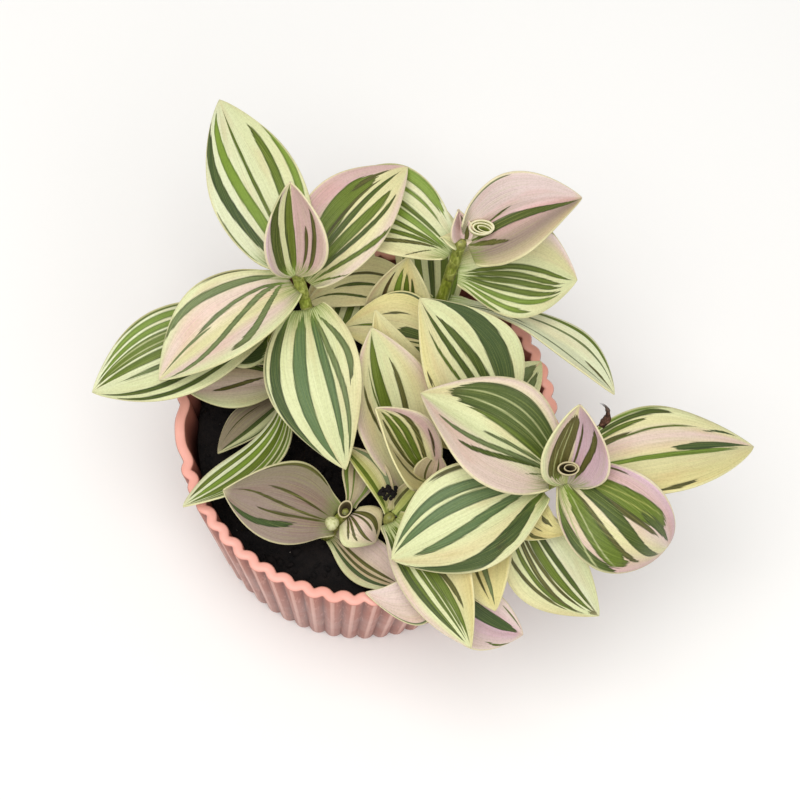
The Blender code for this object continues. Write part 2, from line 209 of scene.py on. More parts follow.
SHOOTS = {
    "left": Shoot(((-13, 12, 52), (-14, 13, 70), (-20, 24, 86), (-25, 30, 103)), (
        Leaf(0.93, 119.2, 3, 57, 26, 0.40, 12, 1, 5, 0.5, 8, ((-1, CREAM), (1, WHITE)), (
            (6, 88, 42, 99, 8.5, BOTTLE), (6, 93, 8, 72, 9.5, SPRING, -6), (10, 93, -6, 6, 3.5, LEAF),
            (6, 78, -34, -66, 8, LEAF), (6, 75, -75, -102, 6.5, SPRING), (8, 40, 95, 97, 2.5, LEAF),
        )),
        Leaf(0.97, 101.2, 52.6, 27.6, 19.5, 0.46, 0, 3, 1, -0.5, 28,
             ((-1, BLUSH), (-0.7, PINK), (-0.3, PINK), (0, PINK), (0.15, CREAM), (0.6, CREAM), (1, LILAC)), (
            (2, 97, 70, 106, 12, DEEP, -22), (2, 98, 6, 30, 13, LEAF), (5, 95, 20, 42, 3, DEEP),
            (8, 57, -38, -38, 4.5, OLIVE), (6, 80, -70, -80, 5.5, OLIVE, 14),
        ), 1.0),
        Leaf(0.85, 55, 7, 46, 24, 0.43, -14, -3, 5, 2.5, 8,
             ((-1, BLUSH), (-0.6, IVORY), (0.4, IVORY), (0.62, PINK), (1, PINK)), (
            (5, 81, 12, 46, 19, LEAF), (60, 90, 40, 50, 5.5, OLIVE), (20, 80, 8, 20, 3, OLIVE),
            (10, 93, -6, 0, 6, DEEP), (6, 79, -14, -42, 10, LEAF), (6, 81, -28, -70, 4.5, DEEP),
            (6, 62, -45, -100, 5, LEAF), (2, 22, -50, -100, 5, LEAF),
        )),
        Leaf(0.84, -140, -8, 47, 25, 0.48, -4, 2, 6, -1, 12,
             ((-1, CREAM), (-0.4, BLUSH), (0.2, IVORY), (0.5, BLUSH), (1, CREAM)), (
            (8, 56, -38, 78, 8.5, SAGE, 30), (8, 95, -42, 80, 6, SAGE, 7), (8, 68, -45, -14, 4, SAGE, 4),
            (58, 98, -8, -8, 3.5, SAGE), (8, 86, -75, -100, 7.5, SAGE, 20), (15, 55, -97, -97, 2.5, OLIVE),
        )),
        Leaf(0.72, -70, -11, 48, 27, 0.43, -6, -7, 5.5, -2.5, 10, ((-1, CREAM), (0.5, CREAM), (1, IVORY)), (
            (4, 98, -14, -44, 12, BLUE), (4, 93, -72, -100, 9, BOTTLE, 6), (6, 93, 20, 42, 7.5, BLUE),
            (6, 92, 28, 80, 5.5, SAGE), (8, 54, 42, 76, 6, SAGE, 18), (5, 60, -99, -98, 3, BOTTLE),
        )),
        Leaf(0.30, 80, -1, 47, 19, 0.42, 0, 0, 4, 0, 8, ((-1, CREAM), (1, IVORY)), PLAIN_STRIPES),
    )),
    "left_low": Shoot(((-24, 8, 52), (-25, 11, 62), (-28, 16, 72), (-31, 20, 84)), (
        Leaf(0.97, -153, -7, 53, 27, 0.51, 4, -1, 5, 0, 8, ((-1, WHITE), (1, CREAM)), (
            (5, 90, 60, 98, 4.5, DEEP), (5, 97, 30, 80, 5.5, DEEP), (5, 82, 8, 16, 5, SAGE),
            (5, 98, -12, -14, 7.5, LEAF), (5, 98, -38, -42, 11.5, LEAF), (12, 90, -32, -36, 1.2, CREAM),
            (12, 90, -45, -50, 1.4, CREAM), (5, 95, -62, -66, 5, SPRING), (5, 90, -78, -84, 5.5, SPRING),
            (5, 80, -94, -97, 3, LEAF),
        )),
        Leaf(0.30, -159, 21, 30, 14, 0.52, 3, 16, -1, -0.5, 15, ((-1, TAN), (0, BLUSH), (1, CREAM)), (
            (20, 76, -35, 15, 7, OLIVE, 6), (10, 95, -92, -92, 16, DEEP),
        )),
        Leaf(0.82, -172, 1, 20, 17, 0.40, 16, -10, 2, 1, 12, ((-1, WHITE), (1, CREAM)), (
            (3, 97, 10, 10, 62, BOTTLE),
        )),
        Leaf(0.55, 142, -2, 27, 18, 0.42, 0, 0, 3, 0, 8, ((-1, CREAM), (1, CREAM)), PLAIN_STRIPES),
        Leaf(0.25, -118.3, 12.9, 50.4, 16.8, 0.66, -30, -1, -2, 10.5, 12, ((-1, WHITE), (1, CREAM)), (
            (3, 98, 84, 84, 5.5, SPRING), (3, 98, 54, 56, 9, LEAF), (3, 99, 20, 20, 10, SPRING),
            (3, 99, -14, -12, 10, LEAF), (3, 98, -47, -44, 9, SPRING), (3, 95, -78, -76, 7, LEAF),
        )),
        # The darkened tan over half of this low leaf paints the shade it lies in.
        Leaf(0.12, -129, 9, 28, 12, 0.52, -12, -11, 1, 0, 10,
             ((-1, PAINTED_SHADE_TAN), (0, PAINTED_SHADE_TAN), (0.6, CREAM), (1, SAGE)), (
            (5, 97, 25, 25, 12, BOTTLE), (30, 90, -50, -50, 2, OLIVE), (5, 97, 95, 95, 7, BOTTLE),
        )),
    )),
    "back": Shoot(((15, 31, 52), (16, 34, 67), (19, 40, 84), (20.4, 43, 100)), (
        # Tan and the shaded pink on its lower half paint the shade that falls there.
        Leaf(0.98, 25.5, 10, 36.5, 29, 0.38, -35, 18, 3, 4, 40,
             ((-1, TAN), (-0.6, PAINTED_SHADE_PINK), (-0.1, PINK), (0.25, ROSE_WHITE), (1, ROSE_WHITE)), (
            (12, 98, -16, -50, 9, DEEP, 16), (20, 46, 0, 18, 2.5, LEAF), (3, 34, -22, -55, 6, OLIVE),
            (2, 22, -8, -22, 3.5, LEAF), (5, 50, 96, 96, 2.5, SAGE),
        )),
        Leaf(0.76, 2, -2, 36, 29, 0.52, -21, -20, 4, 2, 8,
             ((-1, CREAM), (0, CREAM), (0.5, IVORY), (1, ROSE_WHITE)), (
            (8, 97, -25, -20, 5, LEAF, 22), (8, 88, -35, -38, 5, LEAF, 20), (8, 88, -45, -52, 5, LEAF, 18),
            (8, 87, -52, -66, 5, LEAF, 12), (8, 85, -60, -75, 4.5, SPRING, 2),
            (8, 62, -72, -88, 4.5, SPRING), (8, 40, -88, -97, 4, SPRING), (58, 70, 66, 80, 3.5, OLIVE),
            (62, 80, 88, 105, 3.5, SAGE),
        )),
        Leaf(0.86, 150, -7, 43.2, 27, 0.52, -1, 17, 4.5, 0.5, 10, ((-1, WHITE), (0, CREAM), (1, IVORY)), (
            (12, 25, 30, 98, 5.5, OLIVE), (10, 60, 15, 95, 5.5, OLIVE), (10, 70, 8, 62, 5.5, LEAF),
            (8, 90, 0, 30, 5.5, LEAF), (6, 90, -10, -15, 6.5, SPRING), (10, 90, -25, -34, 4.5, LEAF),
            (20, 85, -58, -58, 3.5, SPRING), (20, 90, -84, -92, 10, SPRING),
        )),
        Leaf(1.00, 112, 62, 11.5, 8, 0.42, 0, 0, 0, 0, 30,
             ((-1, ROSE_WHITE), (0.4, PINK), (1, ROSE_WHITE)), (
            (5, 85, -60, -40, 14, OLIVE),
        )),
        Leaf(0.45, -27.4, 9.4, 58.2, 16.5, 0.68, 34, -2, 4, 6, 8, ((-1, WHITE), (1, WHITE)), (
            (3, 45, 0, -10, 12, SAGE), (10, 97, 30, 60, 4, SAGE), (10, 95, -50, -50, 4, SAGE),
            (20, 98, 85, 90, 5, LEAF), (80, 100, 0, 0, 10, OLIVE),
        )),
        Leaf(0.37, -172, 10, 39, 16, 0.56, -9, 18, 3.5, -6.5, 8, ((-1, IVORY), (1, IVORY)), (
            (40, 80, 12, -5, 6, DEEP), (50, 97, 75, 0, 5, DEEP), (5, 85, -30, -40, 4, OLIVE),
        )),
        Leaf(0.30, 100, 0, 43, 21, 0.42, 0, 0, 4, 0, 8, ((-1, CREAM), (1, CREAM)), PLAIN_STRIPES),
    )),
    "inner": Shoot(((12, 14, 52), (15, 16, 60), (20, 18, 69), (24, 19, 76)), (
        Leaf(0.97, 174, 6, 34, 19, 0.56, 19, -8, 0.5, -5, 8, ((-1, YELLOW), (0.3, IVORY), (1, YELLOW)), (
            (10, 57, 10, 20, 14, DEEP), (10, 47, 65, 72, 9, DEEP), (48, 71, -39, -28, 3.5, OLIVE),
            (25, 72, -92, -96, 2.5, DEEP), (68, 97, 10, 0, 5, LEAF), (10, 45, 38, 46, 5, DEEP),
        )),
    )),
    "short": Shoot(((8, 22, 52), (8, 23, 57), (8, 25, 61), (8, 27, 66)), (
        Leaf(0.97, 97, 63, 30, 20, 0.45, 4, 2, 0, 2, 15,
             ((-1, IVORY), (0, YELLOW), (0.6, IVORY), (1, TAN)), (
            (10, 85, 45, 50, 6, BROWN), (10, 88, 8, 8, 9, SPRING), (10, 82, -20, -22, 8, LEAF),
            (10, 78, -40, -45, 5, DEEP),
        )),
    )),
    "middle": Shoot(((27, 0, 52), (30, -2, 58), (33, -3, 66), (35, -3, 74)), (
        Leaf(0.50, 142, 36, 51, 19, 0.49, 3, -1, -0.5, 6.5, 10, ((-1, IVORY), (1, YELLOW)), (
            (30, 74, 55, -3, 5, OLIVE), (40, 55, -55, -80, 5, OLIVE),
        )),
        Leaf(0.95, 130, 34, 45, 31, 0.45, -2, 0, 1.5, -3.5, 10,
             ((-1, CREAM), (0, CREAM), (0.5, IVORY), (1, YELLOW)), (
            (8, 98, -72, -100, 15.5, BOTTLE, 28), (10, 86, -30, 0, 7, DEEP), (10, 97, -12, 34, 6, DEEP, 2),
            (15, 80, 10, 56, 3, LEAF), (50, 60, 88, 92, 4, OLIVE),
        )),
        Leaf(0.50, 56.7, 10.5, 31.5, 15, 0.55, 2, 1, 2, 0.5, 15, ((-1, CREAM), (1, CREAM)), (
            (5, 95, 15, 15, 30, SAGE), (5, 90, -45, -50, 15, SAGE),
        )),
    )),
    "centre": Shoot(((14, -22, 52), (14, -22, 58), (16, -22, 66), (19, -19, 76)), (
        Leaf(0.62, 115, 35, 51, 26, 0.52, -20, 20, 0, 0, 12,
             ((-1, BLUSH), (-0.6, IVORY), (-0.15, CREAM), (0.3, CREAM), (0.6, IVORY), (1, BLUSH)), (
            (12, 98, -2, 32, 12, LEAF), (40, 73, 42, 68, 3.5, OLIVE), (12, 81, -20, -32, 5, OLIVE),
            (40, 80, 22, 48, 2, LEAF), (58, 68, -95, -97, 4, OLIVE), (10, 35, -55, -70, 6, SAGE),
        )),
        Leaf(1.00, 154, 56, 34, 24, 0.50, -1, -8, -2.5, 1.5, 40,
             ((-1, BLUSH), (-0.8, PINK), (-0.6, IVORY), (0.2, IVORY), (1, YELLOW)), (
            (10, 85, 0, -15, 3.5, OLIVE), (8, 95, -12, -35, 6.5, LEAF), (8, 90, -25, -55, 6, LEAF),
            (8, 85, -40, -75, 4.5, OLIVE), (20, 50, -75, -85, 3, BROWN), (10, 55, 50, 20, 5, OLIVE),
        )),
        Leaf(1.00, 78, 42, 9.5, 10, 0.52, 0, 0, 1.5, 0, 20, ((-1, MAUVE), (1, TAN)), (
            (5, 90, 40, 30, 5, OLIVE), (5, 90, -30, -30, 5, OLIVE),
        ), 0.6),
    )),
    "right": Shoot(((26, -24, 52), (34, -25, 74), (46, -22, 78), (57, -18, 94)), (
        Leaf(0.88, 156, 10, 44, 34, 0.47, -1, -20, 4.5, 0.5, 8,
             ((-1, BLUSH), (-0.7, IVORY), (0.1, CREAM), (0.5, BLUSH), (1, BLUSH)), (
            (6, 86, -48, -58, 24, DEEP), (8, 67, -2, 62, 4.5, DEEP), (6, 84, -5, 50, 4.5, SAGE),
            (10, 56, -10, 5, 3, SAGE), (6, 21, 12, 42, 3, SAGE), (8, 71, -16, -25, 4.5, LEAF),
            (12, 80, -36, -46, 1.4, CREAM), (12, 80, -54, -66, 1.4, CREAM),
        )),
        Leaf(0.80, -149, -7, 47, 30, 0.51, 0, 5, 5.5, 0.5, 8,
             ((-1, CREAM), (0.2, CREAM), (0.5, IVORY), (1, CREAM)), (
            (2, 95, 35, 100, 12, BOTTLE, 10), (3, 45, 30, 75, 11, BOTTLE, 12), (8, 88, -8, 33, 8, BLUE),
            (6, 97, -28, -36, 9.5, BLUE), (6, 96, -48, -68, 8, BLUE), (30, 63, -90, -93, 3, OLIVE),
        )),
        Leaf(0.93, 20, -14, 60, 28, 0.47, 5, 15, 3.5, 0.5, 8,
             ((-1, YELLOW), (0, IVORY), (0.4, BLUSH), (0.7, IVORY), (1, CREAM)), (
            (4, 92, 0, -6, 5, SPRING), (55, 99, 8, 15, 8, BOTTLE), (30, 93, -2, -18, 3, SPRING),
            (4, 60, 80, 90, 4.5, DEEP), (4, 60, 93, 98, 3, SPRING), (4, 46, 66, 76, 4.5, LEAF),
            (4, 36, 48, 56, 5.5, OLIVE), (20, 72, 48, 62, 2, LEAF), (75, 94, 54, 86, 5, BOTTLE),
            (35, 57, -92, -86, 5, OLIVE),
        )),
        Leaf(0.92, -21, -24, 38, 28, 0.38, -28, -2, 12.5, 0, 5,
             ((-1, PINK), (-0.3, IVORY), (0.3, BLUSH), (0.7, PINK), (1, LILAC)), (
            (4, 76, 28, 58, 19, LEAF), (50, 92, 42, 46, 8.5, DEEP), (10, 78, 15, 25, 5, OLIVE),
            (3, 95, 14, -60, 11, DEEP, 18), (5, 77, -8, -72, 5, OLIVE, 6), (4, 68, -22, -80, 15, LEAF),
            (2, 62, -80, -97, 9, DEEP), (12, 27, 88, 88, 3, OLIVE), (3, 70, 32, 70, 1.2, HAY),
            (3, 66, 24, 50, 1.2, HAY), (3, 60, -18, -86, 1.4, CREAM), (3, 50, -50, -100, 1.4, CREAM),
        ), 0.3),
        Leaf(0.95, 92, 54.4, 24.5, 20, 0.45, 4, 4, -1, -1, 28,
             ((-1, LILAC), (0, LILAC), (0.15, IVORY), (0.7, BLUSH), (1, CREAM)), (
            (8, 88, 58, 26, 26, OLIVE), (12, 84, 52, 22, 1.4, CREAM), (12, 80, 72, 36, 1.2, CREAM),
            (10, 80, 0, -15, 3, OLIVE), (7, 80, -30, -70, 7.5, OLIVE, 8),
        ), 1.0),
        Leaf(0.58, -45, -21, 41, 22, 0.48, -11, -20, 2, -4.5, 8,
             ((-1, IVORY), (-0.5, CREAM), (0.4, WHITE), (1, CREAM)), (
            (4, 97, 28, 36, 6.5, DEEP), (5, 97, 7, 5, 9, LEAF), (5, 92, -20, -20, 4, OLIVE, 10),
            (5, 93, -35, -55, 5, OLIVE, 18), (5, 92, -65, -60, 5, LEAF, 22),
            (10, 82, -100, -62, 4, OLIVE, 20), (92, 100, 0, 0, 60, OLIVE),
        )),
        Leaf(0.72, -50, -3, 15, 12, 0.46, -9, -6, 1, -6, 8, ((-1, YELLOW), (1, YELLOW)), (
            (48, 74, 52, 58, 10, OLIVE), (58, 70, -3, -3, 6, OLIVE), (60, 88, -45, -90, 12, OLIVE),
        )),
        Leaf(0.44, -87, 3, 31, 22, 0.51, -13, -2, 3.5, -6, 8, ((-1, IVORY), (0, YELLOW), (1, YELLOW)), (
            (20, 95, 0, 45, 7, SAGE), (20, 90, -10, 10, 4, OLIVE), (40, 95, -50, -90, 5, OLIVE, 10),
        )),
    )),
    "front": Shoot(((10, -30, 52), (10, -30, 58), (9, -30, 64), (9, -30, 72)), (
        Leaf(0.98, -55, 8, 44, 21, 0.52, -19, -20, 4, 3.5, 8,
             ((-1, BLUSH), (-0.7, CREAM), (-0.3, CREAM), (1, YELLOW)), (
            (10, 80, -15, 35, 6.5, OLIVE, -5), (6, 98, -22, 12, 9.5, LEAF, -3),
            (6, 93, -34, -12, 4.5, LEAF), (6, 95, -46, -25, 4.5, LEAF), (6, 95, -66, -50, 5, LEAF),
            (6, 95, -82, -55, 5.5, DEEP),
        )),
        Leaf(0.97, 130, 12, 24, 8, 0.55, 2, 1, 1, -3, 20, ((-1, TAN), (1, HAY)), (
            (10, 95, 55, 60, 14, LEAF), (10, 95, -60, -60, 14, SAGE),
        )),
    )),
    "rosette": Shoot(((-8, -32, 52), (-8, -32, 56), (-7, -31, 60), (-3.1, -28.0, 67)), (
        # This leaf's darkened tan and pink ground paints the shade it lies in.
        Leaf(0.76, -178, 33, 37.5, 24, 0.50, 20, 20, 0, -2, 8, ((-1, PAINTED_SHADE_TAN), (0, PAINTED_SHADE_PINK), (1, PAINTED_SHADE_PINK)), (
            (35, 97, 48, 88, 6.5, BOTTLE), (10, 70, 28, 36, 3, OLIVE), (8, 93, 20, -20, 3, OLIVE, 10),
            (8, 65, -5, -28, 3, OLIVE), (20, 78, -94, -95, 5, OLIVE),
        )),
        Leaf(0.40, -34, 9, 27, 14, 0.52, -8, -13, -1.5, 0, 10,
             ((-1, CREAM), (-0.4, TAN), (0.2, BLUSH), (1, PALE_PINK)), (
            (5, 95, -62, -66, 7, BOTTLE), (10, 90, -30, -30, 5, OLIVE, -10), (10, 92, -2, 0, 6, OLIVE, -14),
        )),
        Leaf(0.96, -38, -4, 12, 16, 0.52, 3, 2, 4, 0, -18, ((-1, CREAM), (0, BLUSH), (1, IVORY)), (
            (10, 90, 40, 55, 10, OLIVE), (10, 80, 20, 20, 4, OLIVE), (10, 95, 0, -35, 6, OLIVE),
            (10, 70, -10, -60, 5, OLIVE), (10, 55, -20, -75, 6, OLIVE),
        )),
    )),
    "trailing": Shoot(((17, -31, 52), (19, -34, 62), (21, -38, 69), (24, -44, 72)), (
        Leaf(0.95, -27, -20, 31, 18, 0.52, 2, 3, 3, -5.5, 8,
             ((-1, PALE_PINK), (0, LILAC), (1, PALE_PINK)), (
            (5, 94, 15, 28, 17, BOTTLE), (70, 92, -62, -98, 6, LEAF), (65, 95, 82, 82, 3, LEAF),
        )),
        Leaf(0.80, -148, 3, 21, 14, 0.46, 10, 6, 0, 7.5, 8, ((-1, PALE_PINK), (1, BLUSH)), (
            (10, 95, 95, 95, 4, SAGE),
        )),
    )),
}

# Young growth at the tips: small leaves by shoot, and open cups with a name, place, radii, lean, turn,
# finish and the solid each stands for.
SPRIGS = {
    "back_sprig": ("back", Leaf(
        1.00, 12, 20, 9, 5, 0.50, -25, 0, 0.5, 0, 5, ((-1, PALE_PINK), (1, IVORY)), (),
    )),
    # The sprig's darkened tan paints shade.
    "rosette_sprig": ("rosette", Leaf(
        0.98, 85, 12, 17, 10, 0.66, 0, 0, 1, -2, 10, ((-1, PAINTED_SHADE_TAN), (1, TAN)),
        ((5, 95, 75, 80, 10, LEAF), (5, 95, 35, 30, 5, LEAF), (5, 95, -60, -70, 12, LEAF)),
    )),
    "back_collar": ("back", Leaf(
        0.96, 170, 30, 6, 6, 0.45, 0, 0, 0.5, 0, 30, ((-1, IVORY), (1, CREAM)), (),
    )),
    "front_sprig": ("front", Leaf(
        0.97, 56, 8, 15, 7, 0.45, 0, 0, 1, 0, 15, ((-1, SAGE), (0, HAY), (1, TAN)),
        ((5, 95, -55, -50, 15, LEAF), (5, 90, 40, 40, 10, OLIVE)),
    )),
}
CUPS = (
    ("right_cup", (54.5, -19.9, 99.5), (3.0, 1.9, 5.0), 8.0, 6.0, "hollow", ()),
    ("right_inner_cup", (55.0, -19.6, 99.3), (1.7, 1.0, 4.5), 8.0, 6.0, "hollow", ()),
    ("rosette_leaf_4_cup", (-3.6, -28.6, 71.0), (1.9, 2.6, 5.0), 12.0, -20.0, "hollow", ("rosette_leaf_4",)),
    ("back_cup", (25.4, 44.6, 107.5), (3.6, 2.2, 5.0), 10.0, 6.0, "striped", ()),
    ("back_middle_cup", (25.7, 44.4, 107.6), (2.9, 1.5, 4.5), 10.0, -4.0, "striped", ()),
    ("back_inner_cup", (26.1, 44.2, 107.6), (2.0, 0.8, 4.0), 10.0, -14.0, "striped", ()),
)
CUP_SIDES = 24
CUP_RINGS = 14
CUP_WALL = 0.14
BUD_SIDES = 20
BUD_RINGS = 12
BUD_PLACE = (-6.8, -33.0, 70.5)
BUD_SIZE = (1.95, 2.0, 1.95)
BUD_LOBES = 0.06

# The withered curl has bends with a radius at each, from the stem on.
DRY_AT = 0.89
DRY_BENDS = (
    (59.0, -10.0, 88.5), (62.6, -4.3, 89.0), (64.5, -2.2, 90.0), (65.7, -0.4, 90.0),
    (65.6, 1.2, 90.5), (64.6, 2.6, 91.0), (62.9, 3.2, 91.0),
)
DRY_RADII = (0.6, 0.6, 0.9, 1.7, 1.4, 0.8, 0.45, 0.12)
DRY_SIDES = 12
DRY_CUTS = 55
DRY_FLATNESS = 0.7
DRY_CRUMPLE = 0.9
DRY_RIPPLES = (1.2, 1.6)
DRY_SMOOTHING = 0.4

# The clump is beads of soil of mixed sizes, spread about its place.
CLUMP_PLACE = (7.3, -24.3, 77.0)
CLUMP_BEADS = 34
CLUMP_SPREAD = (1.0, 0.8, 0.3)
BEAD_SIZES = (0.4, 0.75)


# Node helpers

class Nodes:
    """Adds nodes to a tree and wires them with plain calls."""

    def __init__(self, tree):
        self.tree = tree

    def add(self, kind, inputs=(), **settings):
        """Add a node, set its properties and feed its inputs with values or with other outputs."""
        made = self.tree.nodes.new(kind)
        for key, value in settings.items():
            setattr(made, key, value)
        for key, value in dict(inputs).items():
            self.feed(made.inputs[key], value)
        return made

    def feed(self, socket, value):
        """Link an output to a socket, or set the socket's own value."""
        if isinstance(value, bpy.types.NodeSocket):
            self.tree.links.new(value, socket)
        else:
            socket.default_value = value

    def math(self, operation, *values):
        """A Math node's result."""
        return self.add("ShaderNodeMath", enumerate(values), operation=operation).outputs[0]

    def remap(self, value, low, high, to_low=0.0, to_high=1.0, smooth=False):
        """Carry a value from one range to another, held at both ends."""
        kind = "SMOOTHSTEP" if smooth else "LINEAR"
        made = self.add("ShaderNodeMapRange", {0: value, 1: low, 2: high, 3: to_low, 4: to_high},
                        interpolation_type=kind, clamp=True)
        return made.outputs[0]

    def mix(self, factor, under, over, blend="MIX"):
        """Lay one colour over another."""
        made = self.add("ShaderNodeMix", {0: factor, 6: under, 7: over}, data_type="RGBA", blend_type=blend)
        return made.outputs[2]

    def noise(self, vector, scale, detail=2.0, roughness=0.5):
        """A noise texture's value."""
        made = self.add("ShaderNodeTexNoise", {"Vector": vector, "Scale": scale, "Detail": detail,
                                               "Roughness": roughness})
        return made.outputs[0]

    def ramp(self, value, stops):
        """Colours along a value from 0 to 1."""
        made = self.add("ShaderNodeValToRGB", {0: value})
        band = made.color_ramp
        band.interpolation = "EASE"
        for index, (place, colour) in enumerate(stops):
            stop = band.elements[index] if index < 2 else band.elements.new(place)
            stop.position = place
            stop.color = colour
        return made.outputs[0]

    def bump(self, height, distance, strength=1.0, below=None):
        """A bump node's normal."""
        inputs = {"Height": height, "Distance": distance, "Strength": strength}
        if below is not None:
            inputs["Normal"] = below
        return self.add("ShaderNodeBump", inputs).outputs[0]

    def coat(self, shader, colour, normal):
        """Give a shader its colour and the normal that raises its grain."""
        self.feed(shader.inputs["Base Color"], colour)
        self.feed(shader.inputs["Normal"], normal)


def new_material(name, roughness, specular=0.5):
    """A material with a Principled shader; returns it with its nodes and its shader."""
    made = bpy.data.materials.new(name)
    made.use_nodes = True
    shader = made.node_tree.nodes["Principled BSDF"]
    shader.inputs["Roughness"].default_value = roughness
    shader.inputs["Specular IOR Level"].default_value = specular
    return made, Nodes(made.node_tree), shader


def object_place(nodes):
    """The point on the piece, in the object's own metres."""
    return nodes.add("ShaderNodeTexCoord").outputs["Object"]


# Leaf finish

def make_stripe_group():
    """A node group that draws one stripe over the colour below it, with streaky ends."""
    group = bpy.data.node_groups.new("leaf_stripe", "ShaderNodeTree")
    for name in ("Along", "Across", "Streak", "Start", "End", "Base", "Tip", "Bow", "Half"):
        group.interface.new_socket(name, in_out="INPUT", socket_type="NodeSocketFloat")
    for name in ("Below", "Shade"):
        group.interface.new_socket(name, in_out="INPUT", socket_type="NodeSocketColor")
    group.interface.new_socket("Colour", in_out="OUTPUT", socket_type="NodeSocketColor")
    n = Nodes(group)
    given = n.add("NodeGroupInput").outputs
    share = n.remap(given["Along"], given["Start"], given["End"])
    centre = n.remap(share, 0.0, 1.0, given["Base"], given["Tip"])
    rest = n.math("SUBTRACT", 1.0, share)
    bulge = n.math("MULTIPLY", n.math("MULTIPLY", share, rest), 4.0)
    centre = n.math("MULTIPLY_ADD", bulge, given["Bow"], centre)
    off = n.math("ABSOLUTE", n.math("SUBTRACT", given["Across"], centre))
    ragged = n.math("SUBTRACT", given["Streak"], 0.5)
    reach = n.math("MINIMUM", n.math("SUBTRACT", given["Along"], given["Start"]),
                   n.math("SUBTRACT", given["End"], given["Along"]))
    reach = n.math("MULTIPLY_ADD", ragged, 0.16, reach)
    taper = n.math("POWER", n.remap(reach, 0.0, 0.12), 0.5)
    inside = n.math("SUBTRACT", n.math("MULTIPLY", given["Half"], taper), off)
    inside = n.math("MULTIPLY_ADD", ragged, 0.05, inside)
    mask = n.remap(inside, -0.010, 0.014)
    mask = n.math("MULTIPLY", mask, n.remap(reach, 0.0, 0.015))
    edge = n.remap(inside, 0.010, 0.060, 0.85, 0.0)
    shade = n.mix(edge, given["Shade"], n.mix(1.0, given["Shade"], EDGE_SHADE, "MULTIPLY"))
    far = n.math("MULTIPLY_ADD", ragged, 0.10, n.math("SUBTRACT", given["End"], given["Along"]))
    shade = n.mix(n.remap(far, 0.10, 0.0, 0.0, 0.55), shade, BARK)
    out = n.add("NodeGroupOutput")
    n.feed(out.inputs["Colour"], n.mix(mask, given["Below"], shade))
    return group


def leaf_material(name, leaf, stripe_group, seed):
    """A leaf's finish: ground colours across it, stripes along it, veins, blotches and a paler back."""
    made, n, shader = new_material(name, 0.46, 0.42)
    uv = n.add("ShaderNodeUVMap", uv_map="blade").outputs[0]
    parts = n.add("ShaderNodeSeparateXYZ", {0: uv}).outputs
    along = parts[0]
    across = n.remap(parts[1], 0.0, 1.0, -1.0, 1.0)
    length, width = leaf.length, leaf.width

    def grain(along_scale, across_scale, turn, detail=3.0):
        place = n.add("ShaderNodeCombineXYZ", {
            0: n.math("MULTIPLY", along, along_scale * length),
            1: n.math("MULTIPLY", across, across_scale * width),
            2: float(seed + turn),
        })
        return n.noise(place.outputs[0], 1.0, detail)

    streak = grain(0.10, 1.1, 0)
    hair = grain(0.04, 3.0, 5, 2.0)
    blotch = grain(0.05, 0.08, 9)
    colour = n.ramp(parts[1], [((place + 1) / 2, shade) for place, shade in leaf.ground])
    pale = n.math("MULTIPLY", n.remap(blotch, 0.45, 0.72, smooth=True), 0.5)
    colour = n.mix(pale, colour, n.mix(1.0, colour, PALE_SHADE, "MULTIPLY"))
    colour = n.mix(n.remap(hair, 0.50, 0.66, 0.0, 0.12), colour, SPRING)
    for row in leaf.stripes:
        stripe = Stripe(*row)
        hundredths = {"Start": stripe.start, "End": stripe.end, "Base": stripe.base, "Tip": stripe.tip,
                      "Half": stripe.half * STRIPE_FULLNESS, "Bow": stripe.bow}
        inputs = {"Along": along, "Across": across, "Streak": streak, "Below": colour, "Shade": stripe.shade}
        inputs.update((key, value / 100) for key, value in hundredths.items())
        colour = n.add("ShaderNodeGroup", inputs, node_tree=stripe_group).outputs[0]
    colour = n.mix(n.remap(hair, 0.53, 0.66, 0.0, 0.22), colour, HAY)
    veined = n.mix(1.0, colour, VEIN_SHADE, "MULTIPLY")
    colour = n.mix(n.remap(hair, 0.47, 0.34, 0.0, 0.6), colour, veined)
    base = n.remap(along, 0.20, 0.03, smooth=True)
    fan = n.remap(streak, 0.42, 0.58, 0.25, 0.85)
    colour = n.mix(n.math("MULTIPLY", base, fan), colour, SPRING)
    margin = n.remap(n.math("ABSOLUTE", across), 0.955, 0.985, 0.0, 0.7)
    colour = n.mix(margin, colour, IVORY)
    colour = n.mix(n.remap(along, 0.92, 1.0, 0.0, 0.4, smooth=True), colour, IVORY)
    back = n.add("ShaderNodeAttribute", attribute_name="back").outputs["Fac"]
    colour = n.mix(n.math("MULTIPLY", back, 0.35), colour, MAUVE)
    place = object_place(n)
    fine = n.noise(place, 1700.0, 2.0)
    colour = n.mix(n.remap(fine, 0.40, 0.75, 0.0, 0.3), colour, n.mix(1.0, colour, VEIN_SHADE, "MULTIPLY"))
    n.feed(shader.inputs["Roughness"], n.remap(fine, 0.3, 0.7, 0.40, 0.56))
    n.coat(shader, colour, n.bump(fine, 0.00008, 0.5, n.bump(hair, 0.00022, 0.55)))
    return made


# Other finishes

